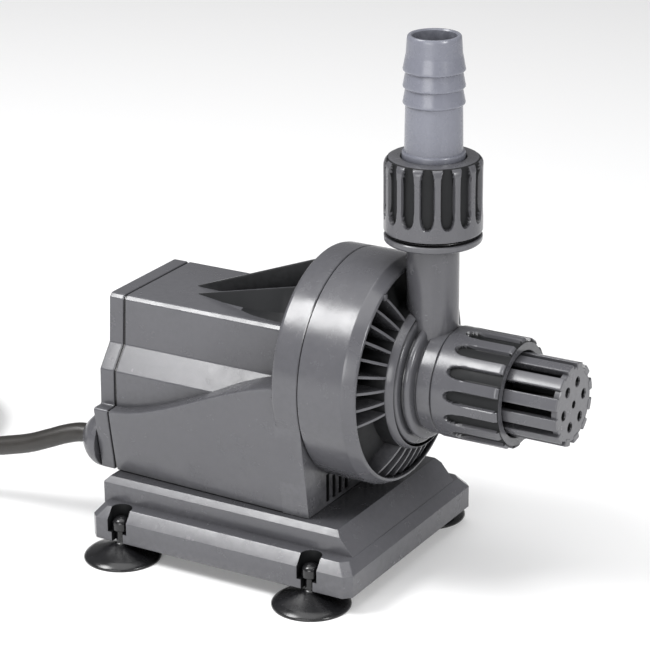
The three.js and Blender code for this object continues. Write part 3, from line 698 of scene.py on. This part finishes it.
def side_panel(side):
    """The lower side panel: it widens and climbs in a curve, and runs on into the ring."""
    steps = 40
    lip = 1.3
    x_end = RING_SPLIT - GAP - 0.25
    sections = []
    for i in range(steps + 1):
        x = HOUSING_REAR + (x_end - HOUSING_REAR) * i / steps
        t = min(1.0, (x - HOUSING_REAR) / (RING_REAR - HOUSING_REAR))
        top_y = SKIRT_TOP[0] + 6.5 * t
        top_z = SKIRT_TOP[1] + 28.5 * (0.5 * t ** 1.3 + 0.5 * smooth_step(t))
        foot_y = SKIRT_FOOT[0] + 2.8 * t
        outer = [
            (foot_y - 0.5, FOOT_Z), (foot_y, FOOT_Z + 0.6),
            (foot_y + (top_y - foot_y) * 0.5 + 0.35, FOOT_Z + (top_z - FOOT_Z) * 0.5),
            (top_y, top_z - 1.6), (top_y - 0.25, top_z - 0.5), (top_y - lip, top_z),
            (30, top_z + 0.2), (30, FOOT_Z),
        ]
        sections.append([(x, side * y, z) for y, z in outer])
    return lofted(sections)


def top_rib(y0, y1, tip_x, ring_z, side=1, sloped=1):
    """A thin rib that climbs to the ring; a sloped one spreads outwards to the top's edge."""
    sections = []
    x1 = RING_REAR + 1.2
    for i in range(17):
        t = i / 16
        x = tip_x + (x1 - tip_x) * t
        y = y0 + (y1 - y0) * t
        z = TOP_Z + (ring_z - TOP_Z) * t
        spread = min(1.0, (x - tip_x) / 34)
        foot = y + 1.5 + (21.6 - y) * spread * sloped
        low = y + (foot - y) * 0.45
        outline = [
            (y - 1.5, RIB_FOOT_Z), (y - 0.85, z - 0.5), (y - 0.45, z), (y + 0.45, z),
            (y + 0.85, z - 0.5), (low, 105 + (z - 105) * 0.3 * t), (foot, RIB_FOOT_Z),
        ]
        sections.append([(x, side * y, z) for y, z in outline])
    rib = lofted(sections)
    # Painted shade: the ribs' steep flanks and the pockets between them get the near-black finish.
    for face in rib.faces:
        if face.normal.z < 0.93:
            face.material_index = 1
    return rib


def build_housing():
    radii = UPPER_RADII + [0.4, 0.4] + UPPER_RADII[::-1]
    outline = rounded_outline(CORE_SECTION, radii, 4)
    core = soften(pushed(outline, "YZ", HOUSING_REAR, RING_REAR + 1), 0.45, 2, 60)
    hollow = pushed(inset_outline(CORE_SECTION, WALL), "YZ", HOUSING_REAR - 1, RING_REAR - 0.5)
    can_hole = turned([(-40, 0), (-40, 15.6), (-30, 15.6), (-30, 0)], seg=64)
    core = cut(core, hollow, can_hole)
    x_end = RING_SPLIT - GAP
    ring = turned(
        [(RING_REAR, 15.6), (RING_REAR, RING_R - 2.2), (RING_REAR + 0.35, RING_R - 0.9),
         (RING_REAR + 1.0, RING_R - 0.25), (RING_REAR + 2.0, RING_R), (x_end - 0.35, RING_R),
         (x_end, RING_R - 0.35), (x_end, 42.5), (RING_REAR + 2.6, 42.5), (RING_REAR + 2.6, 15.6)],
        seg=RING_ROUND,
    )
    toe = pushed(mirrored([(46.4, 84), (38.2, FOOT_Z)]), "YZ", RING_REAR, x_end)
    bore = turned([(RING_REAR - 1, 0), (RING_REAR - 1, 42), (x_end + 1, 42), (x_end + 1, 0)], seg=96)
    slots = [
        block(x_end - 2.2, x_end + 1, side * y - 1.2, side * y + 1.2, 33, 45)
        for side in (1, -1) for y in (8, 13, 18, 23)
    ]
    toe = soften(cut(toe, bore, merged(slots)), 0.3, 2, 40)
    # Painted shade: the slot walls in the toe get the near-black finish.
    mark_painted_shade(toe, lambda c: c.x < x_end - 0.5 and abs(c.y) < 25 and 32.5 < c.z < 45.5)
    shapes = [core, ring, toe, side_panel(1), side_panel(-1)]
    shapes.append(top_rib(0, 0, -99.5, 129.2, sloped=0))
    shapes += [top_rib(8.1, 13.8, -94, 120.7, side=side) for side in (1, -1)]
    for y, z in COVER_SCREWS:
        post = [(HOUSING_REAR, 1.9), (HOUSING_REAR, 4), (-105, 4), (-105, 1.9)]
        shapes.append(turned(post, seg=24, y=y, z=z))
    return merged(shapes)


add_piece(
    "motor_housing_shell", build_housing(), GREY_ABS, ["motor_housing"],
    shaded=GREY_PAINTED_SHADE,
)


def build_cover():
    radii = UPPER_RADII + [1.2, 0.8, 0.8, 1.2] + UPPER_RADII[::-1]
    shell = pushed(rounded_outline(COVER_SECTION, radii, 4), "YZ", COVER_REAR, COVER_FRONT)
    hollow = pushed(inset_outline(COVER_SECTION, WALL), "YZ", COVER_REAR + 4.2, COVER_FRONT + 1)
    gland_hole = turned([(-130, 0), (-130, 6), (-118, 6), (-118, 0)], seg=48, y=GLAND_Y, z=GLAND_Z)
    shell = cut(soften(shell, 0.7, 3, 60), hollow, gland_hole)
    for y, z in COVER_SCREWS:
        seat = COVER_REAR + 2.6
        wide = [(-129, 0), (-129, 3.7), (COVER_REAR + 0.3, 3.5), (seat, 3.5), (seat, 1.9),
                (-118, 1.9), (-118, 0)]
        shell = cut(shell, turned(wide, seg=40, y=y, z=z))
    return shell


add_piece("rear_cover_shell", build_cover(), GREY_ABS, ["rear_cover"])


def build_seal():
    outer = rounded_outline(inset_outline(COVER_SECTION, 0.6), 0.8, 4)
    inner = inset_outline(COVER_SECTION, 2.3)
    x0, x1 = COVER_FRONT + GAP, HOUSING_REAR - GAP
    return cut(pushed(outer, "YZ", x0, x1), pushed(inner, "YZ", x0 - 1, x1 + 1))


add_piece("rear_seal_band", build_seal(), BLACK_RUBBER, ["rear_cover_seal"])


def build_gland():
    """A moulded dome that narrows to the cord."""
    profile = [
        (-121.5, 0), (-121.5, 5.6), (-127.5, 5.6), (-127.5, 11.9), (-127.8, 12.1), (-129.6, 12.0),
        (-131.4, 11.5), (-133.0, 10.6), (-134.4, 9.5), (-135.7, 8.2), (-136.8, 7.0), (-137.6, 6.0),
        (-138.1, 5.3), (-138.3, 4.8), (-138.3, 0),
    ]
    return turned(profile, seg=96, y=GLAND_Y, z=GLAND_Z)


add_piece("cord_gland", build_gland(), GREY_ABS, ["cable_gland"])


def cross_screw(axis, a, b, head_at, seat_at, tip_at):
    """A pan-head screw with a cross recess and a threaded shank, along X or Z."""
    out = 1 if head_at > seat_at else -1
    shoulder = min(1.5, abs(head_at - seat_at) * 0.75)
    profile = [(head_at, 0), (head_at, 1.7), (head_at - out * 0.35, 2.5), (head_at - out * 0.9, 3.0),
               (head_at - out * shoulder, 3.1), (seat_at, 3.05), (seat_at, 1.5)]
    pitch = 1.4
    for i in range(int(abs(tip_at - seat_at) / pitch)):
        at = seat_at - out * (0.6 + pitch * i)
        profile += [(at, 1.15), (at - out * 0.45, 1.5), (at - out * 0.6, 1.5), (at - out, 1.15)]
    profile += [(tip_at + out * 0.4, 1.0), (tip_at, 0.3), (tip_at, 0)]
    low, high = sorted((head_at - out * 1.2, head_at + out))
    arm_sizes = ((1.7, 0.42), (0.42, 1.7))
    if axis == "X":
        body = turned(profile, seg=40, y=a, z=b)
        arms = [block(low, high, a - w, a + w, b - t, b + t) for w, t in arm_sizes]
    else:
        body = turned(profile, "Z", seg=40, x=a, y=b)
        arms = [block(a - w, a + w, b - t, b + t, low, high) for w, t in arm_sizes]
    return cut(body, combine(*arms, "UNION"))


SCREWS = [
    ("cover_screw", "X", COVER_SCREWS, (COVER_REAR + 0.4, COVER_REAR + 2.3, -109)),
    ("base_screw", "Z", BASE_SCREWS, (20.6, 22.7, 38)),
]
for kind, axis, spots, lengths in SCREWS:
    for number, (a, b) in enumerate(spots, 1):
        node = f"{kind}_{number}"
        screw = cross_screw(axis, a, b, *lengths)
        add_piece(f"{node}_threaded", screw, STEEL, [node])


# ---- plinth and suction cups ---------------------------------------------------------------------
PLINTH_X0, PLINTH_X1 = PLINTH_LOW.x - RIM_AT, PLINTH_HIGH.x - RIM_AT
PLINTH_HALF = PLINTH_HIGH.y
FLANGE_TOP = 17.4
FLANGE_FLAT = 21.5
CUP_X = [-108.4, -17.7]
CUP_Y = 49.0
ARCH_HALF, NECK_HALF, NECK_TOP = 4.6, 2.75, 11.7


def cornered(x0, x1, half, c):
    return [
        (x0 + c, -half), (x1 - c, -half), (x1, -half + c), (x1, half - c),
        (x1 - c, half), (x0 + c, half), (x0, half - c), (x0, -half + c),
    ]


def edge_notch(x, side, half, steps):
    """The outline of a round-ended notch in the plinth's long edge, about a cup's stem."""
    edge_y = side * (PLINTH_HALF + 1)
    angles = [math.pi * k / steps for k in range(steps + 1)]
    arc = [(x + half * math.cos(a), side * (CUP_Y - half * math.sin(a))) for a in angles]
    return [(x + half, edge_y)] + arc + [(x - half, edge_y)]


def build_plinth():
    layers = []
    for z, d in (
        (CUP_HEIGHT, 0.3), (CUP_HEIGHT + 0.3, 0), (FLANGE_TOP - 0.4, 0), (FLANGE_FLAT - 0.3, 3.35),
        (FLANGE_FLAT, 3.85),
    ):
        corners = cornered(PLINTH_X0 + d, PLINTH_X1 - d, PLINTH_HALF - d, 3)
        layers.append([(x, y, z) for x, y in rounded_outline(corners, 0.8, 2)])
    flange = lofted(layers)
    ramp_profile = [
        (-120.9, 16), (-120.9, 29), (-118.9, PLINTH_TOP), (-9.9, PLINTH_TOP), (1.3, FLANGE_TOP),
        (1.3, 16),
    ]
    ramp = pushed(ramp_profile, "XZ", -43, 43)
    side_profile = mirrored([(41.0, PLINTH_TOP + 0.01), (43, PLINTH_TOP - 2.4), (43, 15)])
    sides = pushed(side_profile, "YZ", -130, 10)
    ramp = soften(combine(ramp, sides, "INTERSECT"), 0.35, 2, 20)
    hollow = lofted([
        [(x, y, z) for x, y in cornered(-116.5 + d, -7 - d, 39 - d, 2)]
        for z, d in ((CUP_HEIGHT - 1, 0), (27.5, 6))
    ])
    flange = cut(flange, hollow.copy())
    ramp = cut(ramp, hollow)
    arches, necks = [], []
    for x in CUP_X:
        for side in (1, -1):
            arch = edge_notch(x, side, ARCH_HALF, 16)
            arches.append(pushed(arch, "XY", NECK_TOP, FLANGE_FLAT + 1))
            neck = edge_notch(x, side, NECK_HALF, 12)
            necks.append(pushed(neck, "XY", CUP_HEIGHT - 1, NECK_TOP + 0.1))
    flange = cut(flange, merged(arches), merged(necks))
    # Painted shade: the inner walls of the arches about the cups get the near-black finish.
    mark_painted_shade(
        flange,
        lambda c: 42 < abs(c.y) < PLINTH_HALF - 0.6
        and CUP_HEIGHT + 0.5 < c.z < FLANGE_FLAT - 0.5
        and min(abs(c.x - x) for x in CUP_X) < ARCH_HALF + 0.1,
    )
    webs = [
        soften(block(x - 1.2, x + 1.2, -36, 36, CUP_HEIGHT + 1, 28), 0.3) for x in (-88, -58, -28)
    ]
    return merged([flange, ramp] + webs)


add_piece("plinth", build_plinth(), GREY_ABS, ["base_plate"], shaded=GREY_PAINTED_SHADE)

CUP_PROFILE = [
    (2.9, 0), (2.3, 4), (1.7, 9), (0.75, 13), (0.1, 15.4), (0.0, 15.7), (0.05, 15.95), (0.35, 16.1),
    (0.8, 16.1), (1.15, 15.9), (1.9, 15.1), (2.45, 14.2), (2.75, 13.6), (2.95, 13.2), (3.6, 11.2),
    (4.5, 8.6), (5.4, 6.2), (6.0, 4.7), (6.5, 3.5), (7.0, 2.8), (7.5, 2.5), (12.0, 2.45), (12.2, 2.9),
    (12.4, 3.55), (12.75, 3.75), (15.4, 3.75), (16.3, 3.5), (17.1, 2.8), (17.7, 1.7), (17.9, 0.8),
    (17.9, 0),
]
for number, (end, side) in enumerate(((0, -1), (0, 1), (1, -1), (1, 1)), 1):
    cup = turned(CUP_PROFILE, "Z", seg=SMALL_ROUND, x=CUP_X[end], y=side * CUP_Y)
    add_piece(
        f"rubber_cup_{number}", cup, BLACK_RUBBER, [f"suction_cup_{number}"],
        body=f"cup_{number}",
    )


# ---- front shroud --------------------------------------------------------------------------------
SECTORS = [65, 185, 305]
FIN_PITCH, FINS = 9.5, 9
DRUM_R = 28.6
HOOP_IN, HOOP_OUT = DRUM_R + GAP, 30.4
FIN_INNER, FIN_OUTER = 29.8, 43.6


def arc_shell(x0, r0, x1, r1, thick, from_deg, to_deg, steps):
    """A conical band between two angles from the top, thickened to the rear."""
    sections = []
    for i in range(steps + 1):
        a = math.radians(from_deg + (to_deg - from_deg) * i / steps)
        ring = []
        for x, r in ((x0, r0), (x1, r1), (x1 - thick, r1), (x0 - thick, r0)):
            ring.append((x, -r * math.sin(a), AXIS_Z + r * math.cos(a)))
        sections.append(ring)
    return lofted(sections)


def build_shroud():
    ring = turned(
        [(RING_SPLIT, 38.5), (RING_SPLIT, RING_R - 0.35), (RING_SPLIT + 0.35, RING_R),
         (-5.3, RING_R), (-4.7, RING_R - 0.15), (-4.1, RING_R - 0.45), (-0.55, 44.95),
         (-0.2, 44.65), (0, 44.3), (0, 43.7), (-0.25, 43.45), (-1.2, 43.2),
         (RING_SPLIT + 2.6, 43.2), (RING_SPLIT + 2.6, 38.5)],
        seg=RING_ROUND,
    )
    hoop = turned(
        [(-9, HOOP_IN), (-9, HOOP_OUT), (5.2, HOOP_OUT), (6.2, HOOP_OUT - 0.15),
         (7.3, HOOP_OUT - 0.6), (8.0, HOOP_IN + 0.55), (8.3, HOOP_IN + 0.4),
         (HOOP_FRONT, HOOP_IN + 0.2), (8.3, HOOP_IN + 0.05), (8.0, HOOP_IN)],
        seg=RING_ROUND,
    )
    neck_low, neck_high = AXIS_Z + 20, AXIS_Z + 60
    neck_profile = [(neck_low, 0), (neck_low, 10.8), (neck_high, 10.8), (neck_high, 0)]
    # Painted shade: the neck is marked, so the walls it cuts in the ring and hoop get the near-black
    # finish.
    neck = mark_painted_shade(turned(neck_profile, "Z", 48, x=OUTLET_X))
    reach = 60 - FINS * FIN_PITCH / 2
    panels = []
    for sector in SECTORS:
        centre = sector - 60
        panel = arc_shell(-6.5, FIN_OUTER, -1.0, FIN_INNER, 1.6, centre - reach, centre + reach, 16)
        # Painted shade: the panels behind the fins get the near-black finish.
        panels.append(mark_painted_shade(soften(panel, 0.25, 2, 50)))
    depth = FIN_OUTER - FIN_INNER
    front_edge = [
        (5.4 - 7.4 * t + 2.6 * t * (1 - t), AXIS_Z + FIN_INNER + depth * t)
        for t in (k / 8 for k in range(9))
    ]
    fin_outline = [(-9.5, AXIS_Z + FIN_OUTER)] + front_edge[::-1] + [(-8.5, AXIS_Z + FIN_INNER)]
    fin = soften(pushed(fin_outline, "XZ", -0.6, 0.6), 0.22, 2, 50)
    angles = [c + (i - (FINS - 1) / 2) * FIN_PITCH for c in SECTORS for i in range(FINS)]
    fins = turned_copies(fin, angles)
    # Painted shade: the ring's inner wall and the hoop's rear get the near-black finish.
    mark_painted_shade(ring, lambda c: c.x < -1.5 and from_axis(c) < 43.4)
    mark_painted_shade(hoop, lambda c: c.x < 2)
    tab = soften(block(-5.2, 0.6, -21.5, -19.3, AXIS_Z + 36.6, AXIS_Z + 39.0), 0.3)
    return merged([cut(ring, neck.copy()), cut(hoop, neck)] + panels + fins + [tab])


add_piece("intake_shroud", build_shroud(), GREY_ABS, ["front_shroud"], shaded=GREY_PAINTED_SHADE)


# ---- pump head -----------------------------------------------------------------------------------
NUT_X0, NUT_X1 = (end.x - RIM_AT for end in box_mm("inlet_nut"))
NUT_R = 22.3
OUTLET_NUT_Z0, OUTLET_NUT_Z1 = (end.z for end in box_mm("outlet_union_nut"))
OUTLET_NUT_R = 19.4
OUTLET_TOP = box_mm("hose_tail")[1].z


def build_volute():
    x_collar = NUT_X0 - GAP
    body = turned(
        [(-29.5, 26.2), (-29.5, 41), (-25, 41), (-25, DRUM_R), (5.6, DRUM_R), (6.6, 28.45),
         (7.6, 28.0), (8.3, 27.75), (8.7, 27.4), (8.95, 26.8), (9.0, 26.0), (9.0, 24.6), (9.3, 23.9),
         (9.8, 23.8), (10.1, 24.4), (10.5, 24.9), (11.1, 25.1), (11.8, 25.0), (12.4, 24.6),
         (12.8, 23.9), (13.0, 22.9), (13.1, 21.8), (13.4, 21.2), (13.9, 21.2), (14.3, 21.7),
         (14.8, 21.9), (x_collar - 0.4, 21.9), (x_collar, 21.5), (x_collar, 18), (37.6, 18),
         (38, 17.6), (38, 13.5), (-4, 13.5), (-4, 26.2)],
        seg=RING_ROUND,
    )
    # Painted shade: the drum behind the shroud, seen through the fin gaps, gets the near-black finish.
    mark_painted_shade(body, lambda c: c.x < 4)
    neck = turned(
        [(AXIS_Z + 15, 7.6), (AXIS_Z + 15, 10.4), (140.6, 10.4), (141.5, 10.9), (142.2, 12.2),
         (143.2, 17.6), (143.5, 18.7), (143.9, 19.15), (144.4, 19.3), (145.8, 19.3), (146.2, 18.9),
         (146.2, 15.6), (163.6, 15.6), (164, 15.2), (164, 7.6)],
        "Z", seg=96, x=OUTLET_X,
    )
    neck = cut(
        neck,
        turned([(-30, 0), (-30, 20), (40, 20), (40, 0)], seg=96),
        block(x_collar, 40, -20, 20, 90, 112),
    )
    arm = soften(block(-3, 2, -1.2, 1.2, AXIS_Z + 4, AXIS_Z + 14.5), 0.4)
    hub = turned([(-3.6, 4.3), (-3.6, 6), (3.4, 6), (4, 5.4), (4, 1), (1.5, 1), (1.5, 4.3)], seg=48)
    return merged([body, neck, hub] + turned_copies(arm, [0, 120, 240]))


add_piece("volute_drum", build_volute(), GREY_ABS, ["volute_casing"], shaded=GREY_PAINTED_SHADE)


def pressed_flutes(bm, axis, count, width, floor, low, high, phase, open_high=False, x=0.0):
    """Presses flutes with pointed ends and soft lips into a finely divided turned wall."""
    half = width / 2
    middle, halfway = (low + high) / 2, (high - low) / 2
    for vert in bm.verts:
        if axis == "X":
            along, a, b = vert.co.x, -vert.co.y, vert.co.z - AXIS_Z
            angle = math.atan2(a, b)
        else:
            along, a, b = vert.co.z, vert.co.x - x, vert.co.y
            angle = math.atan2(b, a)
        r = math.hypot(a, b)
        if r <= floor:
            continue
        turn = (angle / (2 * math.pi) * count + phase) % 1.0
        offset = min(turn, 1 - turn) * 2 * math.pi * r / count
        share = (middle - along) / halfway
        share = max(share, 0.0) if open_high else abs(share)
        distance = offset - half * (1 - share ** 5) ** 0.5 if share < 1 else 1.0
        keep = 1 - (r - floor) * smooth_step(-distance / 0.6 + 0.4) / r
        vert.co.y *= keep
        if axis == "X":
            vert.co.z = AXIS_Z + b * keep
        else:
            vert.co.x = x + a * keep


def divided(profile, start, steps):
    """A profile whose segment from one point to the next is cut into equal steps."""
    (a0, r0), (a1, r1) = profile[start], profile[start + 1]
    added = [(a0 + (a1 - a0) * k / steps, r0 + (r1 - r0) * k / steps) for k in range(1, steps)]
    return profile[:start + 1] + added + profile[start + 1:]


NUT_ROUND = 420
OUTLET_FLUTES, INLET_FLUTES = 15, 14
FLUTE_LOW, FLUTE_HIGH = 152.9, 177.4
nut_foot, nut_top = OUTLET_NUT_Z0, OUTLET_NUT_Z1
outlet_nut_base = [
    (168.0, 16.1), (nut_foot, 16.1), (nut_foot, 18.9), (nut_foot + 0.2, 19.25),
    (nut_foot + 0.6, OUTLET_NUT_R), (nut_top - 3.4, OUTLET_NUT_R), (nut_top - 2.8, 19.35),
    (nut_top - 2.2, 19.2), (nut_top - 1.6, 18.95), (nut_top - 1.1, 18.6), (nut_top - 0.6, 18.1),
    (nut_top - 0.3, 17.6), (nut_top, 16.6), (nut_top, 13.1), (nut_top - 0.3, 12.8), (168.0, 12.8),
]
outlet_nut = turned(divided(outlet_nut_base, 4, 76), "Z", seg=NUT_ROUND, x=OUTLET_X)
pressed_flutes(
    outlet_nut, "Z", OUTLET_FLUTES, 5.6, 17.6, FLUTE_LOW, FLUTE_HIGH, -0.1125, x=OUTLET_X,
)
# Painted shade: the flute floors get the near-black finish.
mark_painted_shade(outlet_nut, lambda c: 17.2 < from_outlet(c) < 18.3 and FLUTE_LOW < c.z < FLUTE_HIGH)
add_piece(
    "outlet_nut_fluted", outlet_nut, GREY_ABS, ["outlet_union_nut"],
    body="outlet_nut", shaded=GREY_PAINTED_SHADE,
)

inlet_nut_base = [
    (42.6, 18.5), (NUT_X0, 18.5), (NUT_X0, NUT_R - 0.5), (NUT_X0 + 0.15, NUT_R - 0.15),
    (NUT_X0 + 0.5, NUT_R), (NUT_X1 - 1.2, NUT_R), (NUT_X1 - 0.5, NUT_R - 0.35),
    (NUT_X1 - 0.1, NUT_R - 1.0), (NUT_X1, NUT_R - 1.6), (NUT_X1, 17.6), (NUT_X1 - 0.4, 17.2),
    (42.6, 17.2),
]
inlet_nut = turned(divided(inlet_nut_base, 4, 70), seg=NUT_ROUND)
pressed_flutes(inlet_nut, "X", INLET_FLUTES, 5.5, 20.6, 26.6, NUT_X1 + 4, -0.25, open_high=True)
# Painted shade: the flute floors get the near-black finish.
mark_painted_shade(inlet_nut, lambda c: 20.2 < from_axis(c) < 21.3 and c.x > 27)
add_piece(
    "inlet_nut_fluted", inlet_nut, GREY_ABS, ["inlet_nut"], body="inlet_nut",
    shaded=GREY_PAINTED_SHADE,
)


def build_tail():
    profile = [
        (164.4, 8), (164.4, 15.3), (164.7, 15.6), (167.3, 15.6), (167.6, 15.3), (167.6, 12.4),
        (179.0, 12.4), (179.6, 12.1), (179.9, 11.4), (190, 11.25), (198.0, 11.1),
    ]
    for z in (199, 205.5, 212):
        profile += [(z - 0.75, 11.1), (z - 0.45, 11.75), (z - 0.1, 12.05), (z + 0.3, 12.1),
                    (z + 0.9, 11.95), (z + 5.2, 11.15)]
    profile += [
        (218.3, 10.9), (OUTLET_TOP - 1.6, 10.55), (OUTLET_TOP - 0.6, 10.4), (OUTLET_TOP - 0.1, 10.0),
        (OUTLET_TOP, 9.6), (OUTLET_TOP - 0.1, 9.0), (OUTLET_TOP - 0.6, 8.65),
    ]
    return turned(profile, "Z", seg=ROUND, x=OUTLET_X)


add_piece("barbed_tail", build_tail(), PALE_ABS, ["hose_tail"], body="hose_tail")

STRAINER_R = 16.7
STRAINER_BARS = 12
STRAINER_WEBS = 6


def build_strainer():
    x1 = STRAINER_X1
    collar = turned(
        [(39.6, 13.6), (39.6, 17.8), (39.9, 18.1), (41.9, 18.1), (42.2, 17.8), (42.2, STRAINER_R),
         (47.2, STRAINER_R), (47.4, 16.5), (47.4, 13.8), (47.2, 13.6)],
        seg=ROUND,
    )
    steps = 6
    pitch = 360 / STRAINER_BARS
    bar_reach = pitch / 2 - math.degrees(1.7 / 16.2)
    outline = []
    for i in range(steps + 1):
        a = math.radians(-bar_reach + 2 * bar_reach * i / steps)
        outline.append((STRAINER_R * math.sin(a), AXIS_Z + STRAINER_R * math.cos(a)))
    for i in range(steps + 1):
        a = math.radians(bar_reach - 2 * bar_reach * i / steps) * 0.98
        outline.append((13.6 * math.sin(a), AXIS_Z + 13.6 * math.cos(a)))
    bar = soften(pushed(outline, "YZ", 46.8, x1), 0.45, 3, 40)
    bars = turned_copies(bar, [pitch * (i + 0.5) - 3 for i in range(STRAINER_BARS)])
    # Painted shade: the inner webs get the near-black finish.
    web = mark_painted_shade(soften(block(46, x1 - 1.5, -0.6, 0.6, AXIS_Z + 2.6, AXIS_Z + 14), 0.3))
    web_angles = [60 * i + 10 for i in range(STRAINER_WEBS)]
    hole_angles = [60 * i - 20 for i in range(STRAINER_WEBS)]
    webs = turned_copies(web, web_angles)
    disc_profile = [
        (x1 - 2.6, 0), (x1 - 2.6, 15.0), (x1 - 0.5, 15.0), (x1 - 0.2, 14.7), (x1 - 0.2, 0),
    ]
    disc = turned(disc_profile, seg=ROUND)
    hole = [(x1 - 5, 0), (x1 - 5, 1.85), (x1 - 0.7, 1.85), (x1 + 0.3, 2.5), (x1 + 1, 2.5), (x1 + 1, 0)]
    holes = turned_copies(turned(hole, seg=32, z=AXIS_Z + 9.0), hole_angles)
    holes.append(turned([(x1 - 5, 0), (x1 - 5, 1.6), (x1 + 1, 1.6), (x1 + 1, 0)], seg=32))
    disc = cut(disc, merged(holes))
    # Painted shade: the faces inside the cage get the near-black finish.
    for shape in [collar, disc] + bars:
        mark_painted_shade(shape, lambda c: from_axis(c) < 13.9 and c.x < x1 - 0.4)
    return merged([collar, disc] + bars + webs)


add_piece(
    "strainer_basket", build_strainer(), GREY_ABS, ["strainer_cage"], body="strainer",
    shaded=GREY_PAINTED_SHADE,
)

for name, node, centre_r, along, squash, wide, axis, x in (
    ("outlet_seal_ring", "outlet_o_ring", 17.15, 147.0, 0.5, 1.15, "Z", OUTLET_X),
    ("inlet_seal_ring", "inlet_o_ring", 15.7, 38.8, 0.5, 1.15, "X", 0.0),
    ("volute_seal_ring", "volute_seal", 36.5, -30.25, 0.45, 1.5, "X", 0.0),
):
    turns = [2 * math.pi * k / 20 for k in range(20)]
    loop = [(along + squash * math.sin(a), centre_r + wide * math.cos(a)) for a in turns]
    seal = turned(loop, axis, seg=96, x=x)
    add_piece(name, seal, BLACK_RUBBER, [node])


# ---- cord, tie and plug --------------------------------------------------------------------------
PLUG_X, PLUG_Y, PLUG_Z = -301.5, -69.8, 18.8
TIE_ANGLE = 120


def build_tie():
    """A thin strap round the coil's section."""
    half = 1.5 * CORD_D
    loops = []
    for grow, z_low in ((0.5, 0.45), (1.7, 0.2)):
        w = half + grow
        top = 2 * CORD_D + 0.2 + grow * 0.8
        corners = [(-w, z_low), (w, z_low), (w, top), (-w, top)]
        loops.append(rounded_outline(corners, [0.4, 0.4, 3.4, 3.4], 5))
    outer = pushed([(COIL_R + a, b) for a, b in loops[1]], "YZ", -2.6, 2.6)
    inner = pushed([(COIL_R + a, b) for a, b in loops[0]], "YZ", -4, 4)
    strap = soften(cut(outer, inner), 0.25, 2, 60)
    turn = Matrix.Rotation(math.radians(TIE_ANGLE - 90), 3, "Z")
    bmesh.ops.rotate(strap, verts=strap.verts, cent=(0, 0, 0), matrix=turn)
    bmesh.ops.translate(strap, verts=strap.verts, vec=(COIL_X, COIL_Y, 0))
    return strap


def build_plug():
    """A round moulded plug: ribbed relief, waisted grip and a wide face."""
    p = PLUG_X
    profile = [(p, 0), (p, 5.0), (p - 0.4, 5.4)]
    for ring in range(5):
        x = p - 1.6 - 2.4 * ring
        r = 5.5 + 0.4 * ring
        profile += [(x, r), (x - 0.35, r - 0.8), (x - 0.95, r - 0.8), (x - 1.3, r + 0.1)]
    profile += [
        (p - 14.2, 7.5), (p - 15.0, 9.0), (p - 16.2, 10.6), (p - 18, 11.4), (p - 22, 11.0),
        (p - 27, 10.8), (p - 31, 11.3), (p - 34, 12.6), (p - 36.5, 15.0), (p - 37.6, 17.2),
        (p - 38.6, 18.2), (p - 39.6, 18.5), (p - 49.0, 18.5), (p - 49.6, 18.2), (p - 50, 17.6),
        (p - 50, 0),
    ]
    body = turned(profile, seg=SMALL_ROUND, y=PLUG_Y, z=PLUG_Z)
    slots = []
    for side in (1, -1):
        y0, y1 = sorted((PLUG_Y + side * 17.6, PLUG_Y + side * 20))
        slots.append(soften(block(p - 48, p - 41, y0, y1, PLUG_Z - 3, PLUG_Z + 3), 0.2))
    return cut(body, merged(slots))


add_piece("coil_strap", build_tie(), DARK_PLASTIC, ["coil_tie"])
plug = add_piece("moulded_plug", build_plug(), BLACK_RUBBER, ["power_plug"])
PIN_TIP, PIN_ROOT = PLUG_X - 69.3, PLUG_X - 50.3
PIN_PROFILE = [
    (PIN_TIP, 0), (PIN_TIP, 0.9), (PIN_TIP + 0.4, 1.7), (PIN_TIP + 1.2, 2.25), (PIN_TIP + 2.2, 2.4),
    (PIN_ROOT - 10, 2.4), (PIN_ROOT - 9.8, 2.1), (PIN_ROOT, 2.1), (PIN_ROOT, 0),
]
for number, dy in enumerate((-9.5, 9.5), 1):
    pin = turned(PIN_PROFILE, seg=48, y=PLUG_Y + dy, z=PLUG_Z)
    node = f"plug_pin_{number}"
    add_piece(f"contact_pin_{number}", pin, PLATED_BRASS, [node])

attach(cord, "pump")
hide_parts("power_cord", "power_cord_tail", "cord_coil")

bpy.context.view_layer.update()


# ---- inner pieces that stay as they were modelled ------------------------------------------------
for node, finish in (
    ("impeller", WHITE_PLASTIC), ("rotor_magnet", FERRITE), ("rotor_shaft", CERAMIC),
    ("front_bearing_bush", CARBON), ("rear_bearing_bush", CARBON), ("rotor_can", DARK_PLASTIC),
    ("stator_core", IRON), ("bobbin_left", NYLON), ("bobbin_right", NYLON), ("coil_left", COPPER),
    ("coil_right", COPPER),
):
    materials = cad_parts[node].data.materials
    materials.clear()
    materials.append(finish)


# ---- floor ---------------------------------------------------------------------------------------
def add_floor():
    mesh = bpy.data.meshes.new("floor")
    bm = bmesh.new()
    bmesh.ops.create_grid(bm, x_segments=1, y_segments=1, size=6.0)
    bm.to_mesh(mesh)
    bm.free()
    floor = bpy.data.objects.new("floor", mesh)
    bpy.context.scene.collection.objects.link(floor)
    paper = bpy.data.materials.new("pale_floor")
    paper.use_nodes = True
    shader = paper.node_tree.nodes["Principled BSDF"]
    shader.inputs["Base Color"].default_value = (0.82, 0.82, 0.82, 1)
    shader.inputs["Roughness"].default_value = 0.55
    shader.inputs["Emission Color"].default_value = (1, 1, 1, 1)
    shader.inputs["Emission Strength"].default_value = 0.14
    mesh.materials.append(paper)


add_floor()
